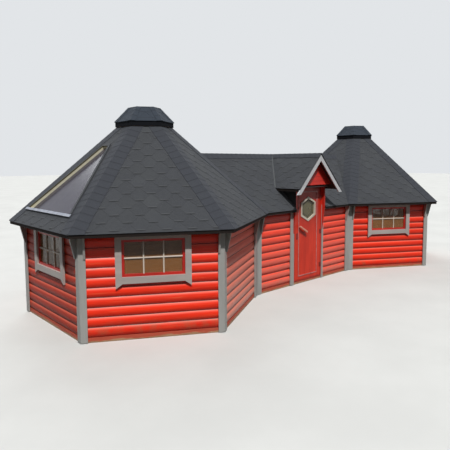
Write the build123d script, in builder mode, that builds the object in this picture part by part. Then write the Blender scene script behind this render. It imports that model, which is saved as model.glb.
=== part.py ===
from build123d import *
import math
import os

# A camping cabin of red logs: two six-cornered rooms joined by a short middle room with the door.
# Millimetres, +Z up, +X along the building, the door on the -Y side.
# The origin is on the ground, halfway between the two six-cornered rooms.

# Plan
SIDE = 1900.0               # one outer side of a six-cornered room
MIDDLE_LENGTH = 2890.0      # the middle room, from corner to corner
WALL = 45.0                 # thickness of the logs
MITRE_JOINT = 0.25          # each log or board stops this far short of its mitre

# Logs and floor
COURSE = 132.0              # height that one log covers
LOG_ROUNDING = 20.0         # how far the groove between two logs lies behind their faces
SILL_HEIGHT = 66.0          # bottom beam, level with the floor
SILL_SETBACK = 6.0
FLOOR = 28.0
FLOOR_CLEARANCE = 0.5
JOIST_WIDTH = 45.0
JOIST_SPACING = 560.0

# Roof
EAVE_HEIGHT = 1466.0        # top of the roof at its lower edge
ROOM_OVERHANG = 185.0
MIDDLE_OVERHANG = 97.0
ROOM_PITCH = 45.0
MIDDLE_PITCH = 44.8
ROOF = 36.0                 # boards and shingles together
ROOF_JOINT = 1.0            # each roof panel stops this far short of a hip, valley or ridge
SMOKE_HOLE = 190.0          # from the middle of the room to the panels' upper ends

# Small roof over each smoke hole
CAP_LOW = 407.0             # from its middle to its lower edge
CAP_HIGH = 216.5            # from its middle to the edge of its flat top
CAP_GAP = 35.0              # air gap between the roof and the lower edge
CAP_RISE = 226.0
CAP_BOARD = 22.0
CAP_FASCIA = 20.0           # thickness of the upright boards around its lower edge
CAP_FASCIA_HEIGHT = 82.0
POST_WIDTH = 60.0
POST_THICKNESS = 20.0

# Roof over the door
GABLE_HALF = 620.0
GABLE_PITCH = 46.0
GABLE_FRONT = 282.0         # how far it comes forward from the wall
BARGE_WIDTH = 72.0
BARGE_THICKNESS = 22.0
BARGE_HALF = 700.0
BARGE_LIP = 23.0            # how far the barge boards' upper edges lie below the roof's face
GABLE_PANEL = 20.0
GABLE_PANEL_SETBACK = 107.0
GABLE_PANEL_LIFT = 47.0     # its lower edge above the frame of the door
SOFFIT = 20.0

# Corner boards, and a bracket under the eave on each of them
CORNER_BOARD_WIDTH = 90.0
LEFT_ROOM_BOARD = 160.0     # on the left room's walls, in the inner corners
LEFT_MIDDLE_BOARD = 105.0   # on the middle room's walls, in the left inner corners
RIGHT_MIDDLE_BOARD = 145.0
CORNER_BOARD = 20.0
BOARD_FOOT = 8.0            # boards end this far above the ground
BRACKET = 28.0              # thickness
BRACKET_FALL = 346.0        # from the eave down to its foot
BRACKET_TOE = 34.0          # how far its foot comes forward from the wall
BRACKET_REACH = 115.0       # and its upper end

# Windows
GLASS_HALF = 387.0
GLASS_BOTTOM = 886.0
GLASS_TOP = 1321.0
GLASS = 6.0
SASH = 53.0                 # width of the sash around the glass
CASING = 30.0
CASING_SIDE = 85.0
CASING_TOP = 90.0
CASING_LOW = 88.0
CASING_REVEAL = 31.0        # how much of the sash shows inside the casing
EAR_TIP = 63.0              # how far the side boards' tips reach below the lower board
EAR_INNER = 5.0

# Door
DOOR_HALF = 402.0           # clear half width between the jambs
DOOR_DROP = 656.0           # from the middle roof's ridge down to the head of the door
JAMB = 34.0
THRESHOLD = 18.0
HEAD = 18.0
FRAME_PROUD = 6.0
LEAF = 40.0
LEAF_GAP = 5.0
LATCH_GAP = 7.0
BEAD_LEFT = 95.0            # from the leaf's edges to the bead on its face
BEAD_RIGHT = 115.0
BEAD_BOTTOM = 58.0
BEAD_TOP = 60.0
BEAD_WIDTH = 16.0
BEAD_PROUD = 8.0
SIDE_BOARD = 20.0
SIDE_BOARD_LEFT = 100.0
SIDE_BOARD_RIGHT = 50.0
CHEEK = 22.0
CHEEK_DEPTH = 78.0
CHEEK_TAPER = 466.0         # height over which a cheek grows to its full depth, below the eave

# Window in the door
DOOR_WINDOW_DROP = 159.0    # from the leaf's top to the window's upper point
DOOR_WINDOW_HALF = 226.0
DOOR_WINDOW_SIDE = 260.0    # its upright sides
DOOR_WINDOW_POINT = 112.0   # height of its upper and of its lower point
DOOR_WINDOW_RIM = 36.0
DOOR_WINDOW_PROUD = 12.0

# Handle, lock and hinges
HANDLE_INSET = 95.0         # from the leaf's left edge to the handle's upper end
HANDLE_BELOW_WINDOW = 74.0
HANDLE_RUN = 224.0
HANDLE_FALL = 128.0
HANDLE_WIDTH = 34.0
HANDLE_THICKNESS = 26.0
HANDLE_STAND = 34.0
HANDLE_POST = 11.0
HANDLE_POST_INSET = 38.0
LOCK_INSET = 57.0
LOCK_BELOW_HANDLE = 65.0
LOCK_WIDTH = 46.0
LOCK_HEIGHT = 120.0
LOCK_PLATE = 6.0
HINGE_RADIUS = 7.0
HINGE_CLEARANCE = 1.0
HINGE_LENGTH = 90.0
HINGE_PLATE = 3.0
HINGE_PLATE_WIDTH = 26.0
HINGE_INSET = 200.0         # from the leaf's ends to the middle of the nearest hinge

# Skylight in the end face of the left roof
SKYLIGHT_LOW = 1660.0       # from the room's middle to its lower edge, in plan
SKYLIGHT_HIGH = 672.0
SKYLIGHT_LOW_HALF = 783.0   # half of its width at its lower edge
SKYLIGHT_HIGH_HALF = 115.0
CURB = 40.0
CURB_HEIGHT = 30.0          # above the roof boards
SKYLIGHT_GLASS = 8.0
SKYLIGHT_RECESS = 57.0
SKYLIGHT_SILL = 42.0
SKYLIGHT_SILL_PLATE = 3.0

SEAT = 0.3                  # clearance between pieces that rest on each other

# Worked out from the sizes above
ROOM_REACH = SIDE * math.cos(math.radians(30))
ROOM_X = MIDDLE_LENGTH / 2 + ROOM_REACH
MIDDLE_HALF = SIDE / 2
ROOF_REACH = ROOM_REACH + ROOM_OVERHANG
MIDDLE_REACH = MIDDLE_HALF + MIDDLE_OVERHANG
HIP_SLOPE = math.tan(math.radians(30))
ROOM_TAN = math.tan(math.radians(ROOM_PITCH))
MIDDLE_TAN = math.tan(math.radians(MIDDLE_PITCH))
VALLEY_SLOPE = MIDDLE_TAN / ROOM_TAN
GABLE_TAN = math.tan(math.radians(GABLE_PITCH))
ROOM_APEX = EAVE_HEIGHT + ROOF_REACH * ROOM_TAN
MIDDLE_RIDGE = EAVE_HEIGHT + MIDDLE_REACH * MIDDLE_TAN
ROOF_DROP = ROOF / math.cos(math.radians(ROOM_PITCH))
GABLE_DROP = ROOF / math.cos(math.radians(GABLE_PITCH))
EAVE_UNDER = EAVE_HEIGHT - ROOF_DROP - SEAT
GABLE_UNDER = MIDDLE_RIDGE - GABLE_DROP - SEAT
VALLEY_START = ROOF_REACH - MIDDLE_REACH * VALLEY_SLOPE
VALLEY_JOINT = ROOF_JOINT * math.sqrt(2)
CAP_FOOT = ROOM_APEX - CAP_LOW * ROOM_TAN + CAP_GAP
CAP_LOW_HEIGHT = CAP_FOOT + CAP_FASCIA_HEIGHT
CAP_TOP = CAP_LOW_HEIGHT + CAP_RISE
WALL_RISE = EAVE_HEIGHT + (ROOM_OVERHANG + WALL) * ROOM_TAN - SILL_HEIGHT
LOG_COURSES = math.ceil(WALL_RISE / COURSE)
FLOOR_REACH = ROOM_REACH - WALL - FLOOR_CLEARANCE
ROUGH_HALF = DOOR_HALF + JAMB + SEAT
CHEEK_OUTER = ROUGH_HALF + CHEEK
DOOR_TOP = MIDDLE_RIDGE - DOOR_DROP
FRAME_TOP = DOOR_TOP + HEAD
FRAME_FACE = -MIDDLE_HALF - FRAME_PROUD
LEAF_LEFT = -DOOR_HALF + LATCH_GAP
LEAF_RIGHT = DOOR_HALF - LEAF_GAP
LEAF_BOTTOM = SILL_HEIGHT + THRESHOLD + LEAF_GAP
LEAF_TOP = DOOR_TOP - LEAF_GAP
DOOR_WINDOW_TIP_HIGH = LEAF_TOP - DOOR_WINDOW_DROP
DOOR_WINDOW_HIGH = DOOR_WINDOW_TIP_HIGH - DOOR_WINDOW_POINT
DOOR_WINDOW_LOW = DOOR_WINDOW_HIGH - DOOR_WINDOW_SIDE
DOOR_WINDOW_TIP_LOW = DOOR_WINDOW_LOW - DOOR_WINDOW_POINT
HANDLE_LEFT = LEAF_LEFT + HANDLE_INSET
HANDLE_TOP = DOOR_WINDOW_TIP_LOW - HANDLE_BELOW_WINDOW
LOCK_X = LEAF_LEFT + LOCK_INSET
LOCK_Z = HANDLE_TOP - HANDLE_FALL - LOCK_BELOW_HANDLE
HINGE_HEIGHTS = (LEAF_BOTTOM + HINGE_INSET, (LEAF_BOTTOM + LEAF_TOP) / 2, LEAF_TOP - HINGE_INSET)
HINGE_X = DOOR_HALF - LEAF_GAP / 2
HINGE_Y = FRAME_FACE - HINGE_RADIUS - HINGE_CLEARANCE
BARGE_FACE = -MIDDLE_HALF - GABLE_FRONT
GABLE_PANEL_FACE = BARGE_FACE + GABLE_PANEL_SETBACK
BIG = 2 * (SIDE + MIDDLE_LENGTH)

os.makedirs("parts", exist_ok=True)


def room_corner(room, degrees):
    """Outer corner of the left (-1) or right (+1) six-cornered room, in plan."""
    angle = math.radians(degrees)
    return (room * ROOM_X + SIDE * math.cos(angle), SIDE * math.sin(angle))


# The outer corners of the whole plan, anticlockwise from the left end of the door's wall
OUTLINE = [room_corner(-1, -30)]
OUTLINE += [room_corner(1, degrees) for degrees in (210, 270, 330, 30, 90, 150)]
OUTLINE += [room_corner(-1, degrees) for degrees in (30, 90, 150, 210, 270)]

# Wall number k runs from corner k of the outline to the next one
WALL_NAMES = [
    "middle_front_wall",
    "right_front_inner_wall",
    "right_front_outer_wall",
    "right_end_wall",
    "right_rear_outer_wall",
    "right_rear_inner_wall",
    "middle_rear_wall",
    "left_rear_inner_wall",
    "left_rear_outer_wall",
    "left_end_wall",
    "left_front_outer_wall",
    "left_front_inner_wall",
]
BLIND_WALLS = ("middle_front_wall", "middle_rear_wall", "left_rear_inner_wall", "left_front_inner_wall")
WINDOW_WALLS = [k for k, name in enumerate(WALL_NAMES) if name not in BLIND_WALLS]


def along(k):
    """Unit direction of wall k."""
    x0, y0 = OUTLINE[k % len(OUTLINE)]
    x1, y1 = OUTLINE[(k + 1) % len(OUTLINE)]
    length = math.hypot(x1 - x0, y1 - y0)
    return ((x1 - x0) / length, (y1 - y0) / length)


def outward(k):
    """Unit direction out of wall k."""
    dx, dy = along(k)
    return (dy, -dx)


def corner(k, inset, shift=0.0, wall=0):
    """Corner k of the outline, moved inwards along its mitre, then along the given wall."""
    x, y = OUTLINE[k % len(OUTLINE)]
    before = outward(k - 1)
    after = outward(k)
    share = inset / (1 + before[0] * after[0] + before[1] * after[1])
    dx, dy = along(wall)
    x -= share * (before[0] + after[0]) - shift * dx
    y -= share * (before[1] + after[1]) - shift * dy
    return (x, y)


def strip_plan(k, outer, inner):
    """Plan of a mitred strip along wall k, between two distances inside its face."""
    start = [corner(k, inset, MITRE_JOINT, k) for inset in (inner, outer)]
    end = [corner(k + 1, inset, -MITRE_JOINT, k) for inset in (outer, inner)]
    return start + end


def board_plan(k, wall, width):
    """Plan of the corner board at corner k that lies on one of its two walls."""
    turn = 1 if wall == k else -1
    nx, ny = outward(wall)
    dx, dy = along(wall)
    tip = corner(k, -CORNER_BOARD, turn * MITRE_JOINT, wall)
    root = corner(k, -SEAT, turn * MITRE_JOINT, wall)
    far = (tip[0] + turn * width * dx, tip[1] + turn * width * dy)
    back = (far[0] - (CORNER_BOARD - SEAT) * nx, far[1] - (CORNER_BOARD - SEAT) * ny)
    return [tip, far, back, root]


def board_width(k, wall):
    """Width of the corner board at corner k on one of its two walls."""
    x = OUTLINE[k][0]
    if abs(x) > MIDDLE_LENGTH / 2 + MITRE_JOINT:
        return CORNER_BOARD_WIDTH
    if WALL_NAMES[wall].startswith("middle"):
        return LEFT_MIDDLE_BOARD if x < 0 else RIGHT_MIDDLE_BOARD
    return LEFT_ROOM_BOARD if x < 0 else CORNER_BOARD_WIDTH


def walls_at(k):
    """Numbers of the two walls that meet at corner k."""
    return (k, (k - 1) % len(OUTLINE))


def face_plane(k):
    """Upright plane on the face of wall k: x along the wall, y up, z outwards."""
    x0, y0 = OUTLINE[k % len(OUTLINE)]
    x1, y1 = OUTLINE[(k + 1) % len(OUTLINE)]
    middle = ((x0 + x1) / 2, (y0 + y1) / 2, 0)
    return Plane(origin=middle, x_dir=(*along(k), 0), z_dir=(*outward(k), 0))


def section_plane(origin, out):
    """Upright plane across a wall or a roof slope: x outwards, y up."""
    return Plane(origin=(*origin, 0), x_dir=(*out, 0), z_dir=(out[1], -out[0], 0))


def front_plane(y):
    """Upright plane facing the front: x to the right, y up, z forwards."""
    return Plane(origin=(0, y, 0), x_dir=(1, 0, 0), z_dir=(0, -1, 0))


def outline_sketch(plane, points):
    """Flat face with those corners, on that plane."""
    with BuildSketch(plane) as outline:
        Polygon(*points, align=None)
    return outline.sketch


def trim_to_plan(points):
    """Keeps only what stands over the given plan."""
    extrude(outline_sketch(Plane.XY, points), amount=BIG, mode=Mode.INTERSECT)


def raise_plan(points, bottom, top):
    """Adds an upright block over the given plan."""
    extrude(outline_sketch(Plane.XY.offset(bottom), points), amount=top - bottom)


def slab(origin, out, reach, eave, slope, drop, plan):
    """A sloping board that rises inwards from its eave, trimmed to the plan."""
    ridge = eave + reach * slope
    section = [(0, ridge), (reach, eave), (reach, eave - drop), (0, ridge - drop)]
    with BuildPart() as piece:
        extrude(outline_sketch(section_plane(origin, out), section), amount=BIG / 2, both=True)
        trim_to_plan(plan)
    return piece.part


def add_log_wall(k):
    """Adds a wall of stacked logs with rounded faces, mitred at its ends and cut under the roof."""
    top = SILL_HEIGHT + LOG_COURSES * COURSE
    with BuildSketch(section_plane(OUTLINE[k], outward(k))) as profile:
        with BuildLine():
            for course in range(LOG_COURSES):
                low = SILL_HEIGHT + course * COURSE
                high = low + COURSE
                ThreePointArc((-LOG_ROUNDING, low), (0, (low + high) / 2), (-LOG_ROUNDING, high))
            Polyline((-LOG_ROUNDING, top), (-WALL, top), (-WALL, SILL_HEIGHT), (-LOG_ROUNDING, SILL_HEIGHT))
        make_face()
    extrude(profile.sketch, amount=BIG / 2, both=True)
    trim_to_plan(strip_plan(k, -CORNER_BOARD, WALL))
    add(roof_space.part, mode=Mode.INTERSECT)


def cut_window(k):
    """Cuts the hole that the sash of the window in wall k fills."""
    low = GLASS_BOTTOM - SASH - SEAT
    high = GLASS_TOP + SASH + SEAT
    with BuildSketch(face_plane(k)) as hole:
        with Locations((0, (low + high) / 2)):
            Rectangle(2 * (GLASS_HALF + SASH + SEAT), high - low)
    extrude(hole.sketch, amount=2 * WALL, both=True, mode=Mode.SUBTRACT)


def room_point(room, degrees, reach, sideways):
    """Plan point of a six-cornered room: outwards at that bearing, then sideways."""
    angle = math.radians(degrees)
    x = room * ROOM_X + reach * math.cos(angle) - sideways * math.sin(angle)
    y = reach * math.sin(angle) + sideways * math.cos(angle)
    return (x, y)


def hip_half(reach):
    """Half width of a roof face at that distance from the room's middle, less the joint."""
    return reach * HIP_SLOPE - ROOF_JOINT


def face_plan(room, degrees, low, high):
    """Plan of one roof face of a six-cornered room, between two distances."""
    points = ((high, -1), (low, -1), (low, 1), (high, 1))
    return [room_point(room, degrees, reach, turn * hip_half(reach)) for reach, turn in points]


def valley_half_plan(room, turn):
    """Plan of half of the roof face that ends in the valley against the middle roof."""
    degrees = 0 if room < 0 else 180
    outline = [
        (SMOKE_HOLE, ROOF_JOINT),
        (SMOKE_HOLE, hip_half(SMOKE_HOLE)),
        (ROOF_REACH, hip_half(ROOF_REACH)),
        (ROOF_REACH, MIDDLE_REACH + VALLEY_JOINT),
        (VALLEY_START + (ROOF_JOINT - VALLEY_JOINT) * VALLEY_SLOPE, ROOF_JOINT),
    ]
    return [room_point(room, degrees, reach, turn * sideways) for reach, sideways in outline]


def bearing(degrees):
    """Unit direction in plan."""
    return (math.cos(math.radians(degrees)), math.sin(math.radians(degrees)))


def room_panel(room, degrees, plan):
    """One panel of the roof over a six-cornered room."""
    middle = (room * ROOM_X, 0)
    return slab(middle, bearing(degrees), ROOF_REACH, EAVE_HEIGHT, ROOM_TAN, ROOF_DROP, plan)


def middle_panel(side, plan):
    """One panel of the middle roof, on the front (-1) or the rear (+1)."""
    return slab((0, 0), (0, side), MIDDLE_REACH, EAVE_HEIGHT, MIDDLE_TAN, ROOF_DROP, plan)


def room_hexagon(room, reach):
    """Draws a hexagon whose sides lie that far from the middle of a six-cornered room."""
    with Locations((room * ROOM_X, 0)):
        RegularPolygon(reach, 6, major_radius=False, rotation=30)


def valley(x):
    """How far the valley between the middle roof and the roof over the door lies from the ridge."""
    return x * GABLE_TAN / MIDDLE_TAN


def leaf_span(left, right, low, high):
    """Corners of an upright rectangle on the door."""
    return [(left, low), (right, low), (right, high), (left, high)]


# Everything under the roof panels, and under the roof over the door: pieces are trimmed to them
with BuildPart() as roof_space:
    for room in (-1, 1):
        with BuildSketch() as room_floor:
            room_hexagon(room, ROOF_REACH)
        extrude(amount=EAVE_UNDER)
        with BuildSketch(Plane.XY.offset(EAVE_UNDER)) as room_eave:
            room_hexagon(room, ROOF_REACH)
        extrude(amount=(ROOF_REACH - SMOKE_HOLE) * ROOM_TAN, taper=90 - ROOM_PITCH)
    with BuildSketch(Plane.YZ) as middle_section:
        Polygon(
            (-MIDDLE_REACH, 0),
            (MIDDLE_REACH, 0),
            (MIDDLE_REACH, EAVE_UNDER),
            (0, EAVE_UNDER + MIDDLE_REACH * MIDDLE_TAN),
            (-MIDDLE_REACH, EAVE_UNDER),
            align=None,
        )
    extrude(amount=ROOM_X, both=True)

with BuildPart() as gable_space:
    with BuildSketch(Plane.XZ) as gable_section:
        Polygon(
            (-GABLE_HALF, 0),
            (GABLE_HALF, 0),
            (GABLE_HALF, GABLE_UNDER - GABLE_HALF * GABLE_TAN),
            (0, GABLE_UNDER),
            (-GABLE_HALF, GABLE_UNDER - GABLE_HALF * GABLE_TAN),
            align=None,
        )
    extrude(amount=MIDDLE_HALF + GABLE_FRONT)

# Bottom beams, one under each wall and one right across under the door
with BuildPart() as sill_beams:
    for k in range(len(OUTLINE)):
        raise_plan(strip_plan(k, SILL_SETBACK, WALL), 0, SILL_HEIGHT - SEAT)
sill_beams.part.label = "sill_beams"
export_step(sill_beams.part, "parts/sill_beams.step")

# Floors of the two six-cornered rooms and the middle room, on joists that lie on the ground
for name, room in (("left", -1), ("right", 1)):
    with BuildPart() as floor_boards:
        with BuildSketch(Plane.XY.offset(SILL_HEIGHT - FLOOR)) as floor_plan:
            room_hexagon(room, FLOOR_REACH)
        extrude(amount=FLOOR)
    floor_boards.part.label = f"{name}_floor"
    export_step(floor_boards.part, f"parts/{name}_floor.step")

middle_floor_half = ROOM_X - FLOOR_REACH - FLOOR_CLEARANCE
middle_floor_depth = MIDDLE_HALF - WALL - FLOOR_CLEARANCE
with BuildPart() as middle_floor:
    with BuildSketch(Plane.XY.offset(SILL_HEIGHT - FLOOR)):
        Rectangle(2 * middle_floor_half, 2 * middle_floor_depth)
    extrude(amount=FLOOR)
middle_floor.part.label = "middle_floor"
export_step(middle_floor.part, "parts/middle_floor.step")

with BuildPart() as floor_joists:
    for room in (-1, 1):
        with BuildSketch() as joist_plan:
            with Locations((room * ROOM_X, 0)):
                with GridLocations(0, JOIST_SPACING, 1, 5):
                    Rectangle(2 * SIDE, JOIST_WIDTH)
            with Locations((room * ROOM_X, 0)):
                RegularPolygon(FLOOR_REACH, 6, major_radius=False, rotation=30, mode=Mode.INTERSECT)
        extrude(amount=SILL_HEIGHT - FLOOR - SEAT)
    with BuildSketch() as middle_joist_plan:
        with GridLocations(0, JOIST_SPACING, 1, 3):
            Rectangle(2 * middle_floor_half, JOIST_WIDTH)
    extrude(amount=SILL_HEIGHT - FLOOR - SEAT)
floor_joists.part.label = "floor_joists"
export_step(floor_joists.part, "parts/floor_joists.step")

# Walls all round but the one with the door
for k, name in enumerate(WALL_NAMES):
    if name == "middle_front_wall":
        continue
    with BuildPart() as wall:
        add_log_wall(k)
        if k in WINDOW_WALLS:
            cut_window(k)
    wall.part.label = name
    export_step(wall.part, f"parts/{name}.step")

# The wall with the door stops at it on both sides
for name, side in (("left", -1), ("right", 1)):
    with BuildPart() as front_wall:
        add_log_wall(WALL_NAMES.index("middle_front_wall"))
        near = side * ROUGH_HALF
        far = side * MIDDLE_LENGTH
        trim_to_plan([(near, -SIDE), (far, -SIDE), (far, 0), (near, 0)])
    front_wall.part.label = f"middle_front_{name}_wall"
    export_step(front_wall.part, f"parts/middle_front_{name}_wall.step")

# Two boards at each corner, from just above the ground to the roof
with BuildPart() as corner_boards:
    for k in range(len(OUTLINE)):
        for wall_number in walls_at(k):
            board = board_plan(k, wall_number, board_width(k, wall_number))
            raise_plan(board, BOARD_FOOT, ROOM_APEX)
    add(roof_space.part, mode=Mode.INTERSECT)
corner_boards.part.label = "corner_boards"
export_step(corner_boards.part, "parts/corner_boards.step")


def bracket_plane(k, wall):
    """Upright plane across a wall, in the middle of the bracket on its corner board."""
    turn = 1 if wall == k else -1
    far = board_plan(k, wall, board_width(k, wall))[1]
    nx, ny = outward(wall)
    dx, dy = along(wall)
    back = turn * BRACKET / 2
    x = far[0] - CORNER_BOARD * nx - back * dx
    y = far[1] - CORNER_BOARD * ny - back * dy
    return section_plane((x, y), (nx, ny))


# A bracket under the eave stands on the outer edge of each corner board
with BuildPart() as corner_brackets:
    bracket_back = CORNER_BOARD + SEAT
    bracket_foot = EAVE_HEIGHT - BRACKET_FALL
    bracket_top = EAVE_HEIGHT + ROOM_OVERHANG * ROOM_TAN
    bracket_side = [
        (bracket_back, bracket_foot),
        (BRACKET_TOE, bracket_foot),
        (BRACKET_REACH, EAVE_HEIGHT),
        (BRACKET_REACH, bracket_top),
        (bracket_back, bracket_top),
    ]
    for k in range(len(OUTLINE)):
        for wall_number in walls_at(k):
            side = outline_sketch(bracket_plane(k, wall_number), bracket_side)
            extrude(side, amount=BRACKET / 2, both=True)
    add(roof_space.part, mode=Mode.INTERSECT)
corner_brackets.part.label = "corner_brackets"
export_step(corner_brackets.part, "parts/corner_brackets.step")

# Windows: a casing on the logs, a sash in the wall and one sheet of glass each
casing_inner = GLASS_HALF + CASING_REVEAL
casing_outer = casing_inner + CASING_SIDE
casing_low = GLASS_BOTTOM - CASING_REVEAL
casing_high = GLASS_TOP + CASING_REVEAL
casing_foot = casing_low - CASING_LOW
with BuildPart() as window_casings:
    for k in WINDOW_WALLS:
        with BuildSketch(face_plane(k).offset(SEAT)):
            Polygon(
                (-casing_outer, casing_high + CASING_TOP),
                (-casing_outer, casing_foot - EAR_TIP),
                (-casing_inner, casing_foot - EAR_INNER),
                (-casing_inner, casing_foot),
                (casing_inner, casing_foot),
                (casing_inner, casing_foot - EAR_INNER),
                (casing_outer, casing_foot - EAR_TIP),
                (casing_outer, casing_high + CASING_TOP),
                align=None,
            )
            with Locations((0, (casing_low + casing_high) / 2)):
                Rectangle(2 * casing_inner, casing_high - casing_low, mode=Mode.SUBTRACT)
        extrude(amount=CASING - SEAT)
window_casings.part.label = "window_casings"
export_step(window_casings.part, "parts/window_casings.step")

glass_middle = (GLASS_BOTTOM + GLASS_TOP) / 2
glass_height = GLASS_TOP - GLASS_BOTTOM
with BuildPart() as window_sashes:
    for k in WINDOW_WALLS:
        with BuildSketch(face_plane(k)):
            with Locations((0, glass_middle)):
                Rectangle(2 * (GLASS_HALF + SASH), glass_height + 2 * SASH)
                Rectangle(2 * GLASS_HALF, glass_height, mode=Mode.SUBTRACT)
        extrude(amount=-WALL)
window_sashes.part.label = "window_sashes"
export_step(window_sashes.part, "parts/window_sashes.step")

with BuildPart() as window_panes:
    for k in WINDOW_WALLS:
        with BuildSketch(face_plane(k).offset(-WALL / 2)):
            with Locations((0, glass_middle)):
                Rectangle(2 * (GLASS_HALF - SEAT), glass_height - 2 * SEAT)
        extrude(amount=GLASS / 2, both=True)
window_panes.part.label = "window_panes"
export_step(window_panes.part, "parts/window_panes.step")

# Skylight outline on the end slope of the left roof, measured up the slope from its middle
skylight_reach = (SKYLIGHT_LOW + SKYLIGHT_HIGH) / 2
skylight_rise = (SKYLIGHT_LOW - SKYLIGHT_HIGH) / 2 / math.cos(math.radians(ROOM_PITCH))
skylight_plane = Plane(
    origin=(-ROOM_X - skylight_reach, 0, ROOM_APEX - skylight_reach * ROOM_TAN),
    x_dir=(0, -1, 0),
    z_dir=(-math.sin(math.radians(ROOM_PITCH)), 0, math.cos(math.radians(ROOM_PITCH))),
)


def skylight_sketch(plane, margin):
    """Trapezoid of the skylight, grown by a margin."""
    with BuildSketch(plane) as outline:
        Polygon(
            (-SKYLIGHT_LOW_HALF, -skylight_rise),
            (SKYLIGHT_LOW_HALF, -skylight_rise),
            (SKYLIGHT_HIGH_HALF, skylight_rise),
            (-SKYLIGHT_HIGH_HALF, skylight_rise),
            align=None,
        )
        offset(amount=margin, kind=Kind.INTERSECTION, mode=Mode.REPLACE)
    return outline.sketch


# Roofs of the two six-cornered rooms
for name, room in (("left", -1), ("right", 1)):
    inner_face = 0 if room < 0 else 180
    with BuildPart() as panels:
        for degrees in range(0, 360, 60):
            if degrees == inner_face:
                for turn in (-1, 1):
                    add(room_panel(room, degrees, valley_half_plan(room, turn)))
            else:
                add(room_panel(room, degrees, face_plan(room, degrees, ROOF_REACH, SMOKE_HOLE)))
        if room < 0:
            extrude(skylight_sketch(skylight_plane, SEAT), amount=2 * ROOF, both=True, mode=Mode.SUBTRACT)
    panels.part.label = f"{name}_roof_panels"
    export_step(panels.part, f"parts/{name}_roof_panels.step")

# Skylight: a raw wooden curb through the roof, glass below its rim and a metal strip at its foot
with BuildPart() as skylight_curb:
    curb_plane = skylight_plane.offset(-ROOF)
    curb_rise = ROOF + CURB_HEIGHT
    extrude(skylight_sketch(curb_plane, 0), amount=curb_rise)
    extrude(skylight_sketch(curb_plane, -CURB), amount=curb_rise, mode=Mode.SUBTRACT)
skylight_curb.part.label = "skylight_curb"
export_step(skylight_curb.part, "parts/skylight_curb.step")

glass_plane = skylight_plane.offset(CURB_HEIGHT - SKYLIGHT_RECESS)
with BuildPart() as skylight_glass:
    extrude(skylight_sketch(glass_plane, -CURB - SEAT), amount=-SKYLIGHT_GLASS)
skylight_glass.part.label = "skylight_glass"
export_step(skylight_glass.part, "parts/skylight_glass.step")

with BuildPart() as skylight_sill:
    with BuildSketch(skylight_plane.offset(CURB_HEIGHT + SEAT)):
        with Locations((0, -skylight_rise + SKYLIGHT_SILL / 2 - SKYLIGHT_SILL_PLATE)):
            Rectangle(2 * SKYLIGHT_LOW_HALF, SKYLIGHT_SILL)
    extrude(amount=SKYLIGHT_SILL_PLATE)
skylight_sill.part.label = "skylight_sill"
export_step(skylight_sill.part, "parts/skylight_sill.step")

# Middle roof: one panel at the rear, and one on each side of the door at the front
ridge_half = ROOM_X - VALLEY_START - ROOF_JOINT * VALLEY_SLOPE - VALLEY_JOINT
eave_half = ROOM_X - ROOF_REACH - VALLEY_JOINT
with BuildPart() as middle_rear_roof:
    rear_plan = [
        (-ridge_half, ROOF_JOINT),
        (ridge_half, ROOF_JOINT),
        (eave_half, MIDDLE_REACH),
        (-eave_half, MIDDLE_REACH),
    ]
    add(middle_panel(1, rear_plan))
middle_rear_roof.part.label = "middle_rear_roof"
export_step(middle_rear_roof.part, "parts/middle_rear_roof.step")

beside_gable = GABLE_HALF + ROOF_JOINT
under_gable = GABLE_HALF - ROOF_JOINT
beside_door = CHEEK_OUTER + SEAT
for name, side in (("left", -1), ("right", 1)):
    with BuildPart() as front_roof:
        main_plan = [
            (side * ridge_half, -ROOF_JOINT),
            (side * eave_half, -MIDDLE_REACH),
            (side * beside_gable, -MIDDLE_REACH),
            (side * beside_gable, -valley(beside_gable) + VALLEY_JOINT),
            (side * 2 * VALLEY_JOINT, -ROOF_JOINT),
        ]
        add(middle_panel(-1, main_plan))
        strip = [
            (side * beside_door, -MIDDLE_REACH),
            (side * under_gable, -MIDDLE_REACH),
            (side * under_gable, -valley(under_gable) - GABLE_DROP / MIDDLE_TAN - ROOF_JOINT),
            (side * beside_door, -valley(beside_door) - GABLE_DROP / MIDDLE_TAN - ROOF_JOINT),
        ]
        add(middle_panel(-1, strip))
    front_roof.part.label = f"middle_front_{name}_roof"
    export_step(front_roof.part, f"parts/middle_front_{name}_roof.step")

# Roof over the door
with BuildPart() as gable_roof:
    for side in (-1, 1):
        gable_plan = [
            (side * ROOF_JOINT, BARGE_FACE),
            (side * GABLE_HALF, BARGE_FACE),
            (side * GABLE_HALF, -valley(GABLE_HALF) - VALLEY_JOINT),
            (side * ROOF_JOINT, -valley(ROOF_JOINT) - VALLEY_JOINT),
        ]
        eave = MIDDLE_RIDGE - GABLE_HALF * GABLE_TAN
        add(slab((0, 0), (side, 0), GABLE_HALF, eave, GABLE_TAN, GABLE_DROP, gable_plan))
gable_roof.part.label = "gable_roof"
export_step(gable_roof.part, "parts/gable_roof.step")

barge_drop = BARGE_WIDTH / math.cos(math.radians(GABLE_PITCH))
barge_top = MIDDLE_RIDGE - BARGE_LIP
barge_end = barge_top - BARGE_HALF * GABLE_TAN
with BuildPart() as barge_boards:
    for side in (-1, 1):
        with BuildSketch(front_plane(BARGE_FACE - SEAT)):
            Polygon(
                (side * MITRE_JOINT, barge_top - MITRE_JOINT * GABLE_TAN),
                (side * BARGE_HALF, barge_end),
                (side * (BARGE_HALF - barge_drop / GABLE_TAN), barge_end),
                (side * MITRE_JOINT, barge_top - barge_drop - MITRE_JOINT * GABLE_TAN),
                align=None,
            )
        extrude(amount=BARGE_THICKNESS)
barge_boards.part.label = "barge_boards"
export_step(barge_boards.part, "parts/barge_boards.step")

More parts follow.
